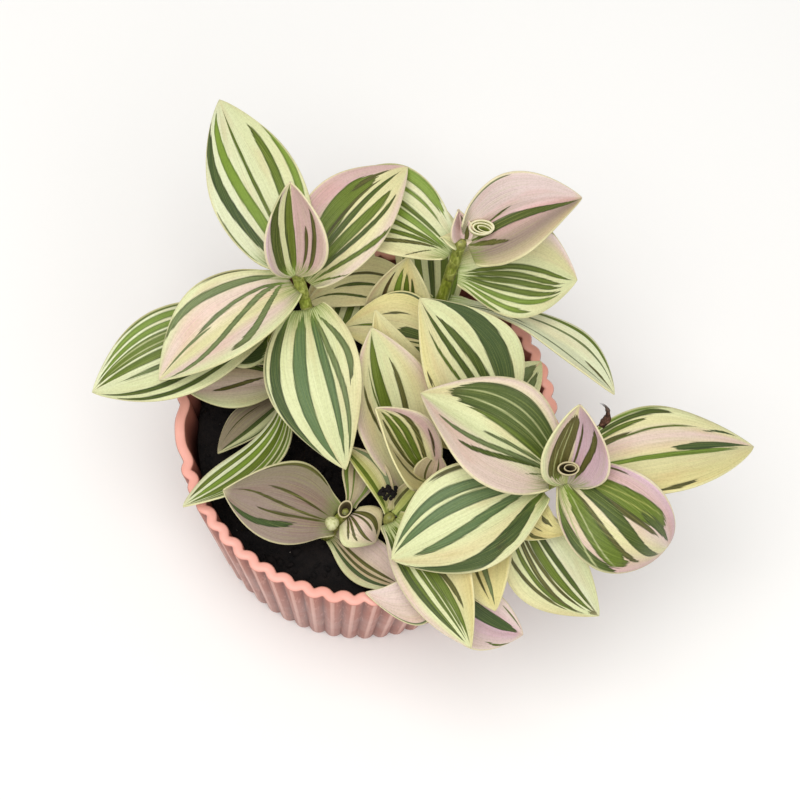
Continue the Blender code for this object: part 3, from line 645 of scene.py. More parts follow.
def pot_material():
    """Coral plastic: a dusty outside painted darker as shade, most in its grooves, with painted highlights
    on its ridges and in faint upright streaks, a lip painted lighter where light falls on it, and painted
    shade with some soil stain inside.
    """
    made, n, shader = new_material("coral_plastic", 0.5, 0.4)
    place = object_place(n)
    parts = n.add("ShaderNodeSeparateXYZ", {0: place}).outputs
    tall = n.add("ShaderNodeMapping", {"Vector": place, "Scale": (1.0, 1.0, 0.12)}).outputs[0]
    cloud = n.noise(place, 60.0, 4.0, 0.6)
    sheen_streak = n.noise(tall, 900.0, 3.0, 0.6)
    speck = n.noise(place, 2600.0, 2.0, 0.5)
    radius = n.math("SQRT", n.math("ADD", n.math("MULTIPLY", parts[0], parts[0]),
                                   n.math("MULTIPLY", parts[1], parts[1])))
    slope = (RIM_RADIUS - FOOT_RADIUS) / POT_HEIGHT
    wall = n.math("MULTIPLY_ADD", parts[2], slope, FOOT_RADIUS * MM)
    out = n.math("SUBTRACT", radius, wall)
    face = WALL / 2 * MM
    groove, ridge = face - FLUTE_DEPTH * MM, face + FLUTE_DEPTH * MM
    # The wall is painted darker than the lip as shade, deepest in the grooves and lighter on the ridges as
    # painted light; a thin darker line paints shade in each groove.
    colour = n.mix(n.remap(out, groove, ridge, smooth=True), tone("84493D"), tone("AC6A5A"))
    colour = n.mix(n.remap(out, groove + 0.00012, groove, 0.0, 0.6), colour, tone("6A382E"))
    colour = n.mix(n.remap(cloud, 0.35, 0.7, 0.0, 0.4), colour, tone("A56353"))
    # Faint upright streaks painted lighter are painted highlights on the glossy plastic.
    colour = n.mix(n.remap(sheen_streak, 0.55, 0.68, 0.0, 0.32), colour, tone("DDA698"))
    colour = n.mix(n.remap(speck, 0.62, 0.74, 0.0, 0.3), colour, tone("8F5549"))
    # A thin painted highlight runs along each ridge, fainter on the plain panel.
    bearing = math.radians(PANEL_ANGLE)
    facing = n.math("ADD", n.math("MULTIPLY", parts[0], math.cos(bearing)),
                    n.math("MULTIPLY", parts[1], math.sin(bearing)))
    panel_edge = math.cos(math.pi * PANEL_PITCHES / FLUTE_PITCHES)
    fluted = n.remap(n.math("DIVIDE", facing, radius), panel_edge, panel_edge + 0.004, 1.0, 0.25)
    crest_highlight = n.math("MULTIPLY", n.remap(out, ridge - 0.00010, ridge - 0.00002, 0.0, 0.75), fluted)
    colour = n.mix(crest_highlight, colour, tone("DFAFA1"))
    foot = n.remap(n.math("MULTIPLY_ADD", cloud, 0.016, parts[2]), 0.022, 0.004, 0.0, 0.35)
    colour = n.mix(foot, colour, tone("AC7466"))
    # The inside is painted darker as shade, deepening down towards the soil, where it also stands for soil
    # stain.
    depth = n.remap(n.math("MULTIPLY_ADD", cloud, 0.008, parts[2]), 0.070, 0.056, smooth=True)
    inner_shade_and_stain = n.mix(depth, tone("9A5D50"), tone("4A2822"))
    colour = n.mix(n.remap(out, 0.0, -0.0006), colour, inner_shade_and_stain)
    # The flat top of the rim is painted lighter where light falls on it: painted light.
    lip = n.remap(parts[2], (POT_HEIGHT - RIM_ROUNDING) * MM, (POT_HEIGHT - 0.4 * RIM_ROUNDING) * MM)
    colour = n.mix(lip, colour, n.mix(n.remap(cloud, 0.35, 0.7), tone("F4B3A4"), tone("EFA898")))
    n.feed(shader.inputs["Roughness"], n.remap(cloud, 0.3, 0.7, 0.3, 0.48))
    n.coat(shader, colour, n.bump(speck, 0.00006, 0.4, n.bump(sheen_streak, 0.0001, 0.3)))
    return made


def soil_material():
    """Damp dark potting mix."""
    made, n, shader = new_material("potting_mix", 0.85, 0.25)
    place = object_place(n)
    coarse = n.noise(place, 260.0, 5.0, 0.65)
    fine = n.noise(place, 1400.0, 4.0, 0.7)
    colour = n.ramp(coarse, [(0.3, tone("0B0A0B")), (0.62, tone("1C1716")), (0.8, tone("33271F"))])
    colour = n.mix(n.remap(fine, 0.62, 0.75, 0.0, 0.5), colour, tone("40332A"))
    n.coat(shader, colour, n.bump(fine, 0.0006, 0.8, n.bump(coarse, 0.0012, 0.6)))
    return made


def speck_material():
    """Small pale grains among the soil."""
    made, n, shader = new_material("pale_grit", 0.8, 0.3)
    fine = n.noise(object_place(n), 1800.0, 3.0)
    colour = n.ramp(fine, [(0.3, tone("8F8A82")), (0.7, tone("D9D6CF"))])
    n.coat(shader, colour, n.bump(fine, 0.0003, 0.6))
    return made


def streaks(n, length, closeness, detail, stops, strength):
    """Long streaks up a piece: their colour, and a normal that raises them."""
    tall = n.add("ShaderNodeMapping", {"Vector": object_place(n), "Scale": (1.0, 1.0, length)}).outputs[0]
    line = n.noise(tall, closeness, detail)
    shades = [(place, tone(code)) for place, code in stops]
    return n.ramp(line, shades), n.bump(line, 0.0001, strength)


def stem_material():
    """Soft olive stem with long pale streaks and purple-brown nodes."""
    made, n, shader = new_material("soft_stem", 0.42, 0.45)
    stops = ((0.35, "748028"), (0.52, "92A038"), (0.70, "BEC668"))
    colour, raised = streaks(n, 0.10, 1300.0, 3.0, stops, 0.5)
    cloud = n.noise(object_place(n), 90.0, 3.0)
    colour = n.mix(n.remap(cloud, 0.5, 0.75, 0.0, 0.12), colour, tone("7A6A40"))
    joint = n.add("ShaderNodeAttribute", attribute_name="joint").outputs["Fac"]
    colour = n.mix(n.math("MULTIPLY", joint, 0.35), colour, tone("8A7460"))
    n.coat(shader, colour, raised)
    return made


def sheath_material():
    """Thin pale collar with fine green lines, at each leaf's foot."""
    made, n, shader = new_material("leaf_sheath", 0.5, 0.4)
    stops = ((0.38, "A5AB58"), (0.52, "8C9440"), (0.64, "727A2E"))
    colour, raised = streaks(n, 0.10, 1500.0, 2.0, stops, 0.5)
    cloud = n.noise(object_place(n), 140.0, 2.0)
    colour = n.mix(n.remap(cloud, 0.5, 0.7, 0.0, 0.25), colour, tone("A98C74"))
    n.coat(shader, colour, raised)
    return made


def bud_material():
    """Closed bud: pale green with thin darker lines."""
    made, n, shader = new_material("young_bud", 0.45, 0.4)
    stops = ((0.38, "DADAAA"), (0.56, "C8CA92"), (0.72, "9AA062"))
    n.coat(shader, *streaks(n, 0.2, 1100.0, 2.0, stops, 0.4))
    return made


def cup_material(name, hollow, wall, lip):
    """Young rolled leaf: a pale lip over a darker wall, and painted shade deepening down into its hollow."""
    made, n, shader = new_material(name, 0.5, 0.4)
    place = object_place(n)
    cloud = n.noise(place, 900.0, 3.0)
    rise = n.add("ShaderNodeAttribute", attribute_name="rise").outputs["Fac"]
    rise = n.math("MULTIPLY_ADD", n.math("SUBTRACT", cloud, 0.5), 0.2, rise)
    # Colour darkens from the lip down into the hollow as painted shade.
    colour = n.ramp(rise, [(0.0, tone(hollow)), (0.55, tone(wall)), (1.0, tone(lip))])
    n.coat(shader, colour, n.bump(cloud, 0.0002, 0.4))
    return made


def dry_material():
    """Withered brown leaf with a pale grey end."""
    made, n, shader = new_material("withered_leaf", 0.8, 0.2)
    fine = n.noise(object_place(n), 900.0, 4.0, 0.7)
    colour = n.ramp(fine, [(0.35, tone("2E1F18")), (0.55, tone("5A3E30")), (0.72, tone("8F6656"))])
    age = n.add("ShaderNodeAttribute", attribute_name="age").outputs["Fac"]
    colour = n.mix(n.remap(age, 0.66, 0.84, 0.0, 0.7), colour, tone("6E6862"))
    colour = n.mix(n.remap(age, 0.84, 0.98, 0.0, 0.9), colour, tone("CFD0D2"))
    n.coat(shader, colour, n.bump(fine, 0.0005, 0.8))
    return made


# Mesh helpers

def add_piece(name, bm, material, slot, *replaced, sharp=None):
    """Turn a bmesh in millimetres into a piece in metres that rides on the pot's body."""
    bmesh.ops.scale(bm, vec=(MM, MM, MM), verts=bm.verts)
    mesh = bpy.data.meshes.new(name)
    bm.to_mesh(mesh)
    bm.free()
    mesh.materials.append(material)
    mesh.shade_smooth()
    if sharp:
        mesh.set_sharp_from_angle(angle=math.radians(sharp))
    item = bpy.data.objects.new(name, mesh)
    bpy.context.scene.collection.objects.link(item)
    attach(item, "root")
    if replaced:
        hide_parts(*replaced)
    return item


def face_out(bm):
    """Turn every face of a closed piece outwards."""
    bmesh.ops.recalc_face_normals(bm, faces=bm.faces)
    if bm.calc_volume(signed=True) < 0.0:
        bmesh.ops.reverse_faces(bm, faces=bm.faces)


def upright_edges(bm, rise):
    """The edges that climb by more than a rise."""
    return [edge for edge in bm.edges if abs(edge.verts[0].co.z - edge.verts[1].co.z) > rise]


def carry_ring(bm, edges, place, column, columns):
    """Extrude a ring of edges and put each new vertex at place(angle) of its own column."""
    made = bmesh.ops.extrude_edge_only(bm, edges=edges)["geom"]
    for vertex in [item for item in made if isinstance(item, bmesh.types.BMVert)]:
        vertex.co = place(math.tau * vertex[column] / columns)
    return [item for item in made if isinstance(item, bmesh.types.BMEdge)]


# Pot and soil

def pot_radius(height):
    """Radius of the middle of the pot's wall, before its flutes."""
    return FOOT_RADIUS + (RIM_RADIUS - FOOT_RADIUS) * height / POT_HEIGHT


def flute_wave(angle):
    """How far the flutes push the wall outwards at an angle in radians."""
    turned = math.remainder(angle - math.radians(PANEL_ANGLE), math.tau)
    pitches = abs(turned) * FLUTE_PITCHES / math.tau
    half_panel = PANEL_PITCHES / 2
    if pitches < half_panel:
        return FLUTE_DEPTH * math.cos(math.pi * (pitches / half_panel) ** PANEL_FLATNESS)
    wave = math.cos(math.tau * (pitches - half_panel))
    return -FLUTE_DEPTH * wave * (1.0 + FLUTE_ROUNDING * (1.0 - wave ** 2))


def wall_point(angle, height, side):
    """A point on the wall: side 1 is the outer face, -1 the inner face, square to its folds."""
    radius = pot_radius(height)
    step = 0.001
    slope = (flute_wave(angle + step) - flute_wave(angle - step)) / (2 * step * radius)
    lean = math.hypot(1.0, slope)
    offset = side * WALL / 2
    out = radius + flute_wave(angle) + offset / lean
    turn = angle - offset * slope / lean / out
    return Vector((out * math.cos(turn), out * math.sin(turn), height))


def flat_ring(radius, height):
    """A plain circle to place a ring on."""
    return lambda angle: Vector((radius * math.cos(angle), radius * math.sin(angle), height))


def make_pot():
    """Carry one ring round the pot's section, with a soft lip and foot."""
    columns = FLUTE_PITCHES * COLUMNS_PER_PITCH
    land = FOOT_RADIUS - FOOT_LAND
    inner = 1 - 2 * RIM_ROUNDING / WALL
    shoulder = (1 + inner) / 2
    top = POT_HEIGHT
    shoulder_height = top - RIM_ROUNDING * 0.3
    section = (
        lambda angle: wall_point(angle, 0.0, inner),
        lambda angle: wall_point(angle, RIM_ROUNDING, 1),
        lambda angle: wall_point(angle, top / 2, 1),
        lambda angle: wall_point(angle, top - RIM_ROUNDING, 1),
        lambda angle: wall_point(angle, shoulder_height, shoulder),
        lambda angle: wall_point(angle, top, inner),
        lambda angle: wall_point(angle, top, -inner),
        lambda angle: wall_point(angle, shoulder_height, -shoulder),
        lambda angle: wall_point(angle, top - RIM_ROUNDING, -1),
        lambda angle: wall_point(angle, top / 2, -1),
        lambda angle: wall_point(angle, FLOOR, -1),
        flat_ring(land, FLOOR),
    )
    bm = bmesh.new()
    column = bm.verts.layers.int.new("column")
    bmesh.ops.create_circle(bm, cap_ends=True, radius=land, segments=columns)
    for vertex in bm.verts:
        vertex[column] = round(math.atan2(vertex.co.y, vertex.co.x) * columns / math.tau)
    edges = list(bm.edges)
    for place in section:
        edges = carry_ring(bm, edges, place, column, columns)
    bmesh.ops.edgeloop_fill(bm, edges=edges)
    bmesh.ops.recalc_face_normals(bm, faces=bm.faces)
    drill_floor(add_piece("pot_body", bm, pot_material(), "pot", "pot", sharp=50))


def drill_floor(pot):
    """Cut a ring of drain holes through the pot's floor."""
    drill = bmesh.new()
    for index in range(DRAIN_COUNT):
        made = bmesh.ops.create_cone(
            drill, cap_ends=True, segments=DRAIN_SIDES,
            radius1=DRAIN_RADIUS, radius2=DRAIN_RADIUS, depth=4 * FLOOR,
        )
        angle = math.tau * index / DRAIN_COUNT
        place = Vector((DRAIN_CIRCLE * math.cos(angle), DRAIN_CIRCLE * math.sin(angle), 0.0))
        bmesh.ops.translate(drill, vec=place, verts=made["verts"])
    bmesh.ops.scale(drill, vec=(MM, MM, MM), verts=drill.verts)
    mesh = bpy.data.meshes.new("drain_drill")
    drill.to_mesh(mesh)
    drill.free()
    cutter = bpy.data.objects.new("drain_drill", mesh)
    bpy.context.scene.collection.objects.link(cutter)
    holes = pot.modifiers.new("drain_holes", "BOOLEAN")
    holes.operation = "DIFFERENCE"
    holes.solver = "EXACT"
    holes.object = cutter
    bpy.context.view_layer.update()
    cut = bpy.data.meshes.new_from_object(pot.evaluated_get(bpy.context.evaluated_depsgraph_get()))
    pot.modifiers.clear()
    pot.data = cut
    bpy.data.objects.remove(cutter)


def soil_height(x, y):
    """Height of the soil's rough surface: swells, lumps and crumbs, and a mound at the centre."""
    here = Vector((x, y, 0.0))
    rough = sum(
        height * noise.noise(here * closeness + Vector(start)) for height, closeness, start in SOIL_LAYERS
    )
    away = (x - MOUND_PLACE[0]) ** 2 + (y - MOUND_PLACE[1]) ** 2
    return SOIL_TOP - SOIL_DIP + rough + MOUND_HEIGHT * math.exp(-away / MOUND_SPREAD)


def make_soil():
    """Turn a profile into the plug of soil, then roughen its top."""
    bottom = FLOOR + SOIL_LIFT
    inset = WALL / 2 + FLUTE_DEPTH + SOIL_GAP
    rim = pot_radius(SOIL_TOP) - inset
    foot = pot_radius(bottom) - inset
    bm = bmesh.new()
    profile = [(0.0, SOIL_TOP)]
    profile += [(rim * ring / SOIL_RINGS, SOIL_TOP) for ring in range(1, SOIL_RINGS + 1)]
    profile += [(foot, bottom), (0.0, bottom)]
    line = [bm.verts.new((radius, 0.0, height)) for radius, height in profile]
    edges = [bm.edges.new(pair) for pair in zip(line, line[1:])]
    bmesh.ops.spin(
        bm, geom=line + edges, axis=(0, 0, 1), cent=(0, 0, 0),
        angle=math.tau, steps=SOIL_SIDES, use_merge=True,
    )
    bmesh.ops.remove_doubles(bm, verts=bm.verts, dist=0.001)
    bmesh.ops.recalc_face_normals(bm, faces=bm.faces)
    for vertex in bm.verts:
        if vertex.co.z > SOIL_TOP - 0.01:
            vertex.co.z = soil_height(vertex.co.x, vertex.co.y)
    add_piece("soil_bed", bm, soil_material(), "soil", "soil")


def scatter(name, count, sizes, material, seed, lift):
    """Strew small uneven grains over the soil in one mesh, each lifted by a share of its size."""
    pick = random.Random(seed)
    reach = pot_radius(SOIL_TOP) - WALL / 2 - FLUTE_DEPTH - GRAIN_MARGIN
    bm = bmesh.new()
    for _ in range(count):
        radius = reach * math.sqrt(pick.random())
        angle = math.tau * pick.random()
        x, y = radius * math.cos(angle), radius * math.sin(angle)
        size = pick.uniform(*sizes) * pick.uniform(*GRAIN_SPREAD)
        made = bmesh.ops.create_icosphere(bm, subdivisions=1, radius=size)["verts"]
        for vertex in made:
            vertex.co *= pick.uniform(*GRAIN_KNOBS)
        stretch = Matrix.Diagonal([pick.uniform(*limits) for limits in GRAIN_STRETCH])
        turn = Matrix.Rotation(pick.uniform(0, math.tau), 3, "Z") @ stretch
        bmesh.ops.transform(bm, matrix=turn.to_4x4(), verts=made)
        bmesh.ops.translate(bm, vec=(x, y, soil_height(x, y) + size * lift), verts=made)
    add_piece(name, bm, material, "soil")


# Stems and leaves

def stem_point(path, share):
    """A point on the cubic curve that four points steer."""
    rest = 1.0 - share
    weights = (rest ** 3, 3 * rest ** 2 * share, 3 * rest * share ** 2, share ** 3)
    return sum((weight * Vector(point) for weight, point in zip(weights, path)), Vector())


def stem_frame(path, share):
    """Turn that stands +Z along the stem at a share of its length."""
    step = 0.01
    ahead = stem_point(path, min(share + step, 1.0)) - stem_point(path, max(share - step, 0.0))
    return ahead.to_track_quat("Z", "X").to_matrix()


def stem_girth(share):
    """The stem's radius at a share of its length."""
    return STEM_RADIUS * (STEM_FOOT - STEM_TAPER * share)


def make_stem(name, shoot, material):
    """Carry a ring up the shoot's path, a little thicker at each leaf's node."""
    nodes = [leaf.at for leaf in shoot.leaves]
    top = max(nodes)
    points = [stem_point(shoot.path, step / PATH_CHORDS) for step in range(PATH_CHORDS + 1)]
    length = sum((after - before).length for before, after in zip(points, points[1:]))
    rings = [(top * step / STEM_STEPS, 1.0, 0.0) for step in range(STEM_STEPS + 1)]
    rings += [(top, narrow, rise) for narrow, rise in STEM_DOME]
    bm = bmesh.new()
    joint = bm.verts.layers.float.new("joint")
    ring = bmesh.ops.create_circle(bm, cap_ends=True, radius=1.0, segments=STEM_SIDES)["verts"]
    edges = list(bm.edges)
    for number, (share, narrow, rise) in enumerate(rings):
        if number:
            grown = bmesh.ops.extrude_edge_only(bm, edges=edges)["geom"]
            ring = [item for item in grown if isinstance(item, bmesh.types.BMVert)]
            edges = [item for item in grown if isinstance(item, bmesh.types.BMEdge)]
        near = max(math.exp(-((share - at) * length / NODE_REACH) ** 2) for at in nodes)
        radius = stem_girth(share) * (1.0 + NODE_SWELL * near)
        turn = stem_frame(shoot.path, share)
        place = Matrix.Translation(stem_point(shoot.path, share)) @ turn.to_4x4()
        for vertex in ring:
            if number:
                vertex.co = previous.inverted() @ vertex.co
            flat = Vector((vertex.co.x, vertex.co.y, 0.0)).normalized() * radius * narrow
            vertex.co = place @ (flat + Vector((0.0, 0.0, rise * radius)))
            vertex[joint] = near * share ** 3
        previous = place
    bmesh.ops.edgeloop_fill(bm, edges=edges)
    bmesh.ops.recalc_face_normals(bm, faces=bm.faces)
    add_piece(name + "_stalk", bm, material, "stem", name + "_stem")


def leaf_axes(leaf):
    """Directions from base to tip, out of the upper face and to the left of a leaf."""
    heading, climb, roll = (math.radians(a) for a in (leaf.heading, leaf.climb, leaf.roll))
    level = Vector((math.cos(heading), math.sin(heading), 0.0))
    along = level * math.cos(climb) + Vector((0.0, 0.0, math.sin(climb)))
    upright = Vector((0.0, 0.0, math.cos(climb))) - level * math.sin(climb)
    left = upright.cross(along)
    upper = upright * math.cos(roll) + left * math.sin(roll)
    return along, upper, left * math.cos(roll) - upright * math.sin(roll)


def leaf_half_width(leaf, share):
    """Half the blade's width at a share of its length, round at the base and pointed at the tip."""
    bend = math.log(0.5) / math.log(leaf.widest)
    blade = math.sin(math.pi * min(share, 1.0) ** bend)
    fullness = BASE_FULLNESS if share < leaf.widest or leaf.clasp else LEAF_FULLNESS
    swell = leaf.width / 2 * max(blade, 0.0) ** fullness
    if leaf.clasp and share < leaf.widest:
        return leaf.width / 2 * max(math.sqrt(1.0 - (1.0 - share / leaf.widest) ** 2), CLASP_FOOT)
    round_base = math.sqrt(1.0 - (1.0 - min(share / HEEL_LENGTH, 1.0)) ** 2)
    round_base *= max(1.0 - share / HEEL_FADE, 0.0)
    heel = leaf.width / 2 * HEEL_WIDTH * round_base
    return max((swell ** 4 + heel ** 4) ** 0.25, TIP_HALF_WIDTH)


def leaf_point(leaf, base, axes, share, across, seed):
    """A point on the blade, with its midrib pressed in and its margins gently waved."""
    along, upper, left = axes
    bulge = 4 * share * (1.0 - share)
    middle = base + along * leaf.length * share + upper * leaf.arch * bulge + left * leaf.sway * bulge
    twist = math.radians(leaf.twist) * share
    face = upper * math.cos(twist) + left * math.sin(twist)
    side = left * math.cos(twist) - upper * math.sin(twist)
    half = leaf_half_width(leaf, share)
    fold = math.radians(leaf.fold)
    lift = half * (abs(across) * math.sin(fold) + (LEAF_CUP + CLASP_CUP * leaf.clasp) * across ** 2)
    hug = HUG_LIFT * max(0.0, 1.0 - share / HUG_LENGTH) ** 2
    lift += hug * (leaf.clasp + half * across ** 2 * (1.0 - leaf.clasp))
    lift -= RIB_DEPTH * math.exp(-(across / RIB_WIDTH) ** 2) * bulge ** 0.5
    leaf_shift, side_shift = WAVE_SHIFTS
    wave = math.sin(share * WAVE_PITCH + seed * leaf_shift + (side_shift if across > 0 else 0.0))
    lift += WAVE_HEIGHT * wave * abs(across) ** 3 * bulge * min(1.0, half / WAVE_HALF_WIDTH)
    return middle + side * half * across * math.cos(fold) + face * lift


def leaf_base(leaf, path):
    """Where a leaf's blade starts: on the stem's middle, or in front of it for one that clasps it."""
    heading = math.radians(leaf.heading)
    level = Vector((math.cos(heading), math.sin(heading), 0.0))
    return stem_point(path, leaf.at) - level * CLASP_SHIFT * leaf.clasp


def make_leaf(name, leaf, path, material, slot, seed, *replaced):
    """Shape a grid into a blade, give it thickness and mark its back."""
    base = leaf_base(leaf, path)
    axes = leaf_axes(leaf)
    start = 0.0 if leaf.clasp else BLADE_START * STEM_RADIUS / leaf.length
    bm = bmesh.new()
    uv = bm.loops.layers.uv.new("blade")
    bmesh.ops.create_grid(bm, x_segments=CELLS_ALONG, y_segments=CELLS_ACROSS, size=1.0)
    for face in bm.faces:
        for loop in face.loops:
            loop[uv].uv = ((loop.vert.co.x + 1) / 2 * (1 - start) + start, (loop.vert.co.y + 1) / 2)
    for vertex in bm.verts:
        share = start + (1.0 - start) * (vertex.co.x + 1.0) / 2
        vertex.co = leaf_point(leaf, base, axes, share, vertex.co.y, seed)
    bmesh.ops.recalc_face_normals(bm, faces=bm.faces)
    back = bm.faces.layers.float.new("back")
    bmesh.ops.solidify(bm, geom=list(bm.faces), thickness=LEAF_THICKNESS)
    face_out(bm)
    for face in bm.faces:
        face[back] = 1.0 if face.normal.dot(axes[1]) < 0 else 0.0
    add_piece(name + "_blade", bm, material, slot, *replaced)


def make_sheath(name, leaf, path, material):
    """A thin collar close round the stem under a leaf, higher on the leaf's side."""
    length = min(SHEATH_LENGTH, SHEATH_SHARE * leaf.length)
    turn = stem_frame(path, leaf.at)
    towards = turn.inverted() @ leaf_axes(leaf)[0]
    facing = math.atan2(towards.y, towards.x)
    foot, lip = (stem_girth(leaf.at) * flare for flare in SHEATH_FLARE)
    bm = bmesh.new()
    bmesh.ops.create_cone(bm, cap_ends=False, segments=SHEATH_SIDES, radius1=foot, radius2=lip, depth=length)
    bmesh.ops.translate(bm, vec=(0, 0, -length / 2), verts=bm.verts)
    bmesh.ops.subdivide_edges(bm, edges=upright_edges(bm, 1.0), cuts=SHEATH_CUTS)
    for vertex in bm.verts:
        rise = (vertex.co.z + length) / length
        lean = math.cos(math.atan2(vertex.co.y, vertex.co.x) - facing)
        vertex.co.z += rise * SHEATH_LEAN * (lean - 1.0)
    bmesh.ops.solidify(bm, geom=list(bm.faces), thickness=SHEATH_WALL)
    face_out(bm)
    place = Matrix.Translation(stem_point(path, leaf.at)) @ turn.to_4x4()
    bmesh.ops.transform(bm, matrix=place, verts=bm.verts)
    add_piece(name + "_sheath", bm, material, "stem")


def make_cup(name, place, radii, lean, turn, material, *replaced):
    """A young leaf rolled into an open cup with a thin lip."""
    bm = bmesh.new()
    rise = bm.verts.layers.float.new("rise")
    bmesh.ops.create_uvsphere(bm, u_segments=CUP_SIDES, v_segments=CUP_RINGS, radius=1.0)
    top = [face for face in bm.faces if face.calc_center_median().z > 0.0]
    bmesh.ops.delete(bm, geom=top, context="FACES")
    for vertex in bm.verts:
        vertex[rise] = vertex.co.z + 1.0
    bmesh.ops.solidify(bm, geom=list(bm.faces), thickness=CUP_WALL)
    face_out(bm)
    shape = Matrix.Rotation(math.radians(turn), 4, "Z") @ Matrix.Rotation(math.radians(lean), 4, "X")
    shape = Matrix.Translation(place) @ shape @ Matrix.Diagonal((*radii, 1.0))
    bmesh.ops.transform(bm, matrix=shape, verts=bm.verts)
    add_piece(name, bm, material, "leaf_cream", *replaced)


def make_ball(name, place, size, material):
    """A closed round bud."""
    bm = bmesh.new()
    bmesh.ops.create_uvsphere(bm, u_segments=BUD_SIDES, v_segments=BUD_RINGS, radius=1.0)
    for vertex in bm.verts:
        vertex.co.xy *= 1.0 + BUD_LOBES * math.sin(3.0 * math.atan2(vertex.co.y, vertex.co.x))
    shape = Matrix.Translation(place) @ Matrix.Diagonal((*size, 1.0))
    bmesh.ops.transform(bm, matrix=shape, verts=bm.verts)
    add_piece(name, bm, material, "leaf_cream")


def make_clump(name):
    """Dark beads of soil caught among the young leaves."""
    chance = random.Random(SEED)
    bm = bmesh.new()
    for _ in range(CLUMP_BEADS):
        spot = [chance.gauss(middle, spread) for middle, spread in zip(CLUMP_PLACE, CLUMP_SPREAD)]
        size = chance.uniform(*BEAD_SIZES)
        bmesh.ops.create_icosphere(bm, subdivisions=2, radius=size, matrix=Matrix.Translation(spot))
    add_piece(name, bm, soil_material(), "soil")


def make_dry_leaf(name, path, material):
    """A withered curl: a crumpled knot on a thin stalk, whose pale end hooks up and back."""
    bends = [stem_point(path, DRY_AT), *(Vector(bend) for bend in DRY_BENDS)]
    last = len(bends) - 1.001
    ripple, knot = DRY_RIPPLES
    bm = bmesh.new()
    age = bm.verts.layers.float.new("age")
    bmesh.ops.create_cone(bm, cap_ends=True, segments=DRY_SIDES, radius1=1.0, radius2=1.0, depth=1.0)
    bmesh.ops.subdivide_edges(bm, edges=upright_edges(bm, 0.5), cuts=DRY_CUTS)
    for vertex in bm.verts:
        share = (vertex.co.z + 0.5) * last
        step = int(share)
        part = share - step
        middle = bends[step].lerp(bends[step + 1], part)
        before = bends[max(step - 1, 0)]
        after = bends[min(step + 2, len(bends) - 1)]
        ahead = (bends[step] - before).lerp(after - bends[step + 1], part) + bends[step + 1] - bends[step]
        turn = ahead.to_track_quat("Z", "X").to_matrix()
        radius = DRY_RADII[step] + (DRY_RADII[step + 1] - DRY_RADII[step]) * part
        around = Vector((vertex.co.x * ripple, vertex.co.y * ripple, share * knot))
        radius *= 1.0 + DRY_CRUMPLE * noise.noise(around)
        vertex[age] = share / last
        vertex.co = middle + turn @ Vector((vertex.co.x, vertex.co.y * DRY_FLATNESS, 0.0)) * radius
    bmesh.ops.smooth_vert(
        bm, verts=bm.verts, factor=DRY_SMOOTHING, use_axis_x=True, use_axis_y=True, use_axis_z=True,
    )
    face_out(bm)
    add_piece(name + "_curl", bm, material, "leaf_dry", name)


def make_plant():
    """Every shoot with its stalk, sheaths and leaves, and the young growth at the tips."""
    slots = {part["node"]: part["material_slot"] for part in frame["record"]["subparts"]}
    stripe_group = make_stripe_group()
    stalk = stem_material()
    sheath = sheath_material()
    seed = SEED
    for shoot_name, shoot in SHOOTS.items():
        make_stem(shoot_name, shoot, stalk)
        for number, leaf in enumerate(shoot.leaves, start=1):
            name = f"{shoot_name}_leaf_{number}"
            seed += 1
            finish = leaf_material(name + "_finish", leaf, stripe_group, seed)
            make_leaf(name, leaf, shoot.path, finish, slots[name], seed, name)
            make_sheath(name, leaf, shoot.path, sheath)
    for name, (shoot_name, leaf) in SPRIGS.items():
        seed += 1
        finish = leaf_material(name + "_finish", leaf, stripe_group, seed)
        make_leaf(name, leaf, SHOOTS[shoot_name].path, finish, "leaf_cream", seed)
    tips = {
        "hollow": cup_material("young_cup", "33281C", "6C6044", "CBBF97"),
        "striped": cup_material("striped_cup", "6C7A30", "A9B45C", "E8E3BE"),
    }
    for name, place, radii, lean, turn, finish, stands_for in CUPS:
        make_cup(name, place, radii, lean, turn, tips[finish], *stands_for)
    make_dry_leaf("right_leaf_9", SHOOTS["right"].path, dry_material())
    make_ball("rosette_bud", BUD_PLACE, BUD_SIZE, bud_material())
    make_clump("crumb_clump")


# Stage

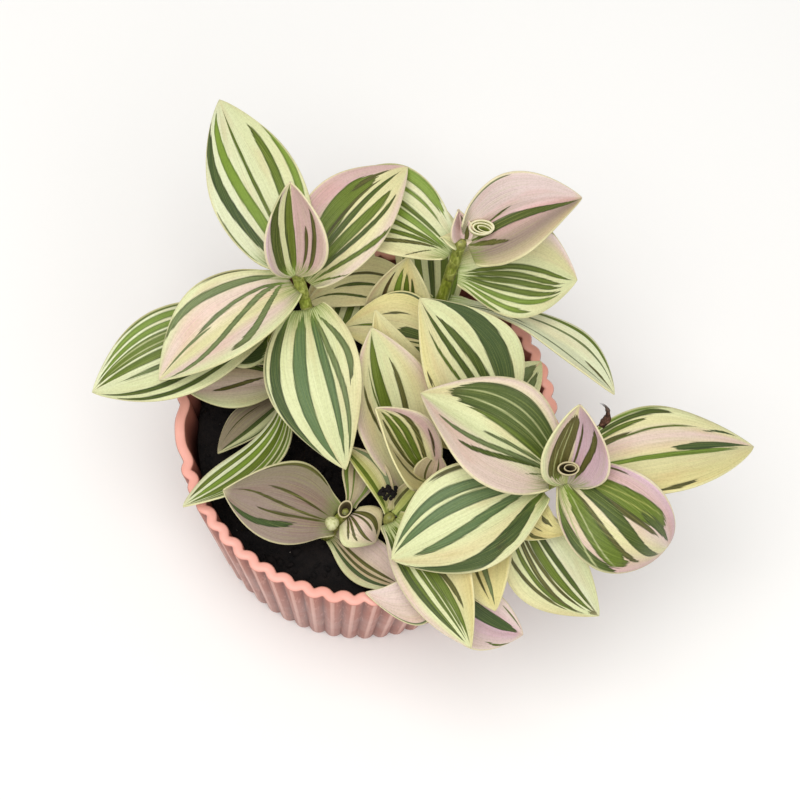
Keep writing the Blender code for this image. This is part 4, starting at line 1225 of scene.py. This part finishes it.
def make_floor():
    """A wide pale floor under the pot."""
    bm = bmesh.new()
    bmesh.ops.create_grid(bm, x_segments=1, y_segments=1, size=FLOOR_SIZE)
    bmesh.ops.scale(bm, vec=(MM, MM, MM), verts=bm.verts)
    mesh = bpy.data.meshes.new("floor")
    bm.to_mesh(mesh)
    bm.free()
    made, n, shader = new_material("pale_floor", 0.9, 0.1)
    haze = n.noise(object_place(n), 3.0, 2.0)
    n.feed(shader.inputs["Base Color"], n.ramp(haze, [(0.3, tone("FAFAF9")), (0.7, tone("FDFDFC"))]))
    mesh.materials.append(made)
    floor = bpy.data.objects.new("floor", mesh)
    bpy.context.scene.collection.objects.link(floor)


def make_light():
    """Soft studio light: an even pale sky and two broad lamps."""
    sky = bpy.data.worlds.new("studio")
    sky.use_nodes = True
    sky.node_tree.nodes["Background"].inputs[0].default_value = SKY_COLOUR
    sky.node_tree.nodes["Background"].inputs[1].default_value = SKY_STRENGTH
    bpy.context.scene.world = sky
    for name, place, width, power, colour in LAMPS:
        lamp = bpy.data.lights.new(name, "AREA")
        lamp.shape = "DISK"
        lamp.size = width * MM
        lamp.energy = power
        lamp.color = colour
        item = bpy.data.objects.new(name, lamp)
        bpy.context.scene.collection.objects.link(item)
        item.location = Vector(place) * MM
        aim = Vector(LAMP_AIM) - Vector(place)
        item.rotation_euler = aim.to_track_quat("-Z", "Y").to_euler()


def make_camera():
    """Look down on the plant from the front, with the head tilted a little."""
    place = Vector(CAMERA_PLACE) * MM
    tilt = math.radians(CAMERA_TILT)
    ahead = (Vector(CAMERA_AIM) * MM - place).normalized()
    right = ahead.cross(Vector((0, 0, 1))).normalized()
    up = right.cross(ahead)
    turned_right = right * math.cos(tilt) + up * math.sin(tilt)
    turned_up = up * math.cos(tilt) - right * math.sin(tilt)
    lens = bpy.data.cameras.new("camera")
    lens.lens = CAMERA_LENS
    lens.sensor_width = CAMERA_SENSOR
    lens.clip_start = CAMERA_NEAR * MM
    camera = bpy.data.objects.new("camera", lens)
    bpy.context.scene.collection.objects.link(camera)
    basis = Matrix((turned_right, turned_up, -ahead)).transposed()
    camera.matrix_world = Matrix.Translation(place) @ basis.to_4x4()
    bpy.context.scene.camera = camera
    bpy.context.scene.view_settings.view_transform = "Standard"


def main():
    """Build the object and its stage."""
    make_camera()
    make_floor()
    make_light()
    make_pot()
    make_soil()
    scatter("soil_crumbs", CRUMB_COUNT, CRUMB_SIZES, soil_material(), SEED, CRUMB_LIFT)
    scatter("soil_grit", SPECK_COUNT, SPECK_SIZES, speck_material(), SEED + 1, SPECK_LIFT)
    make_plant()


main()
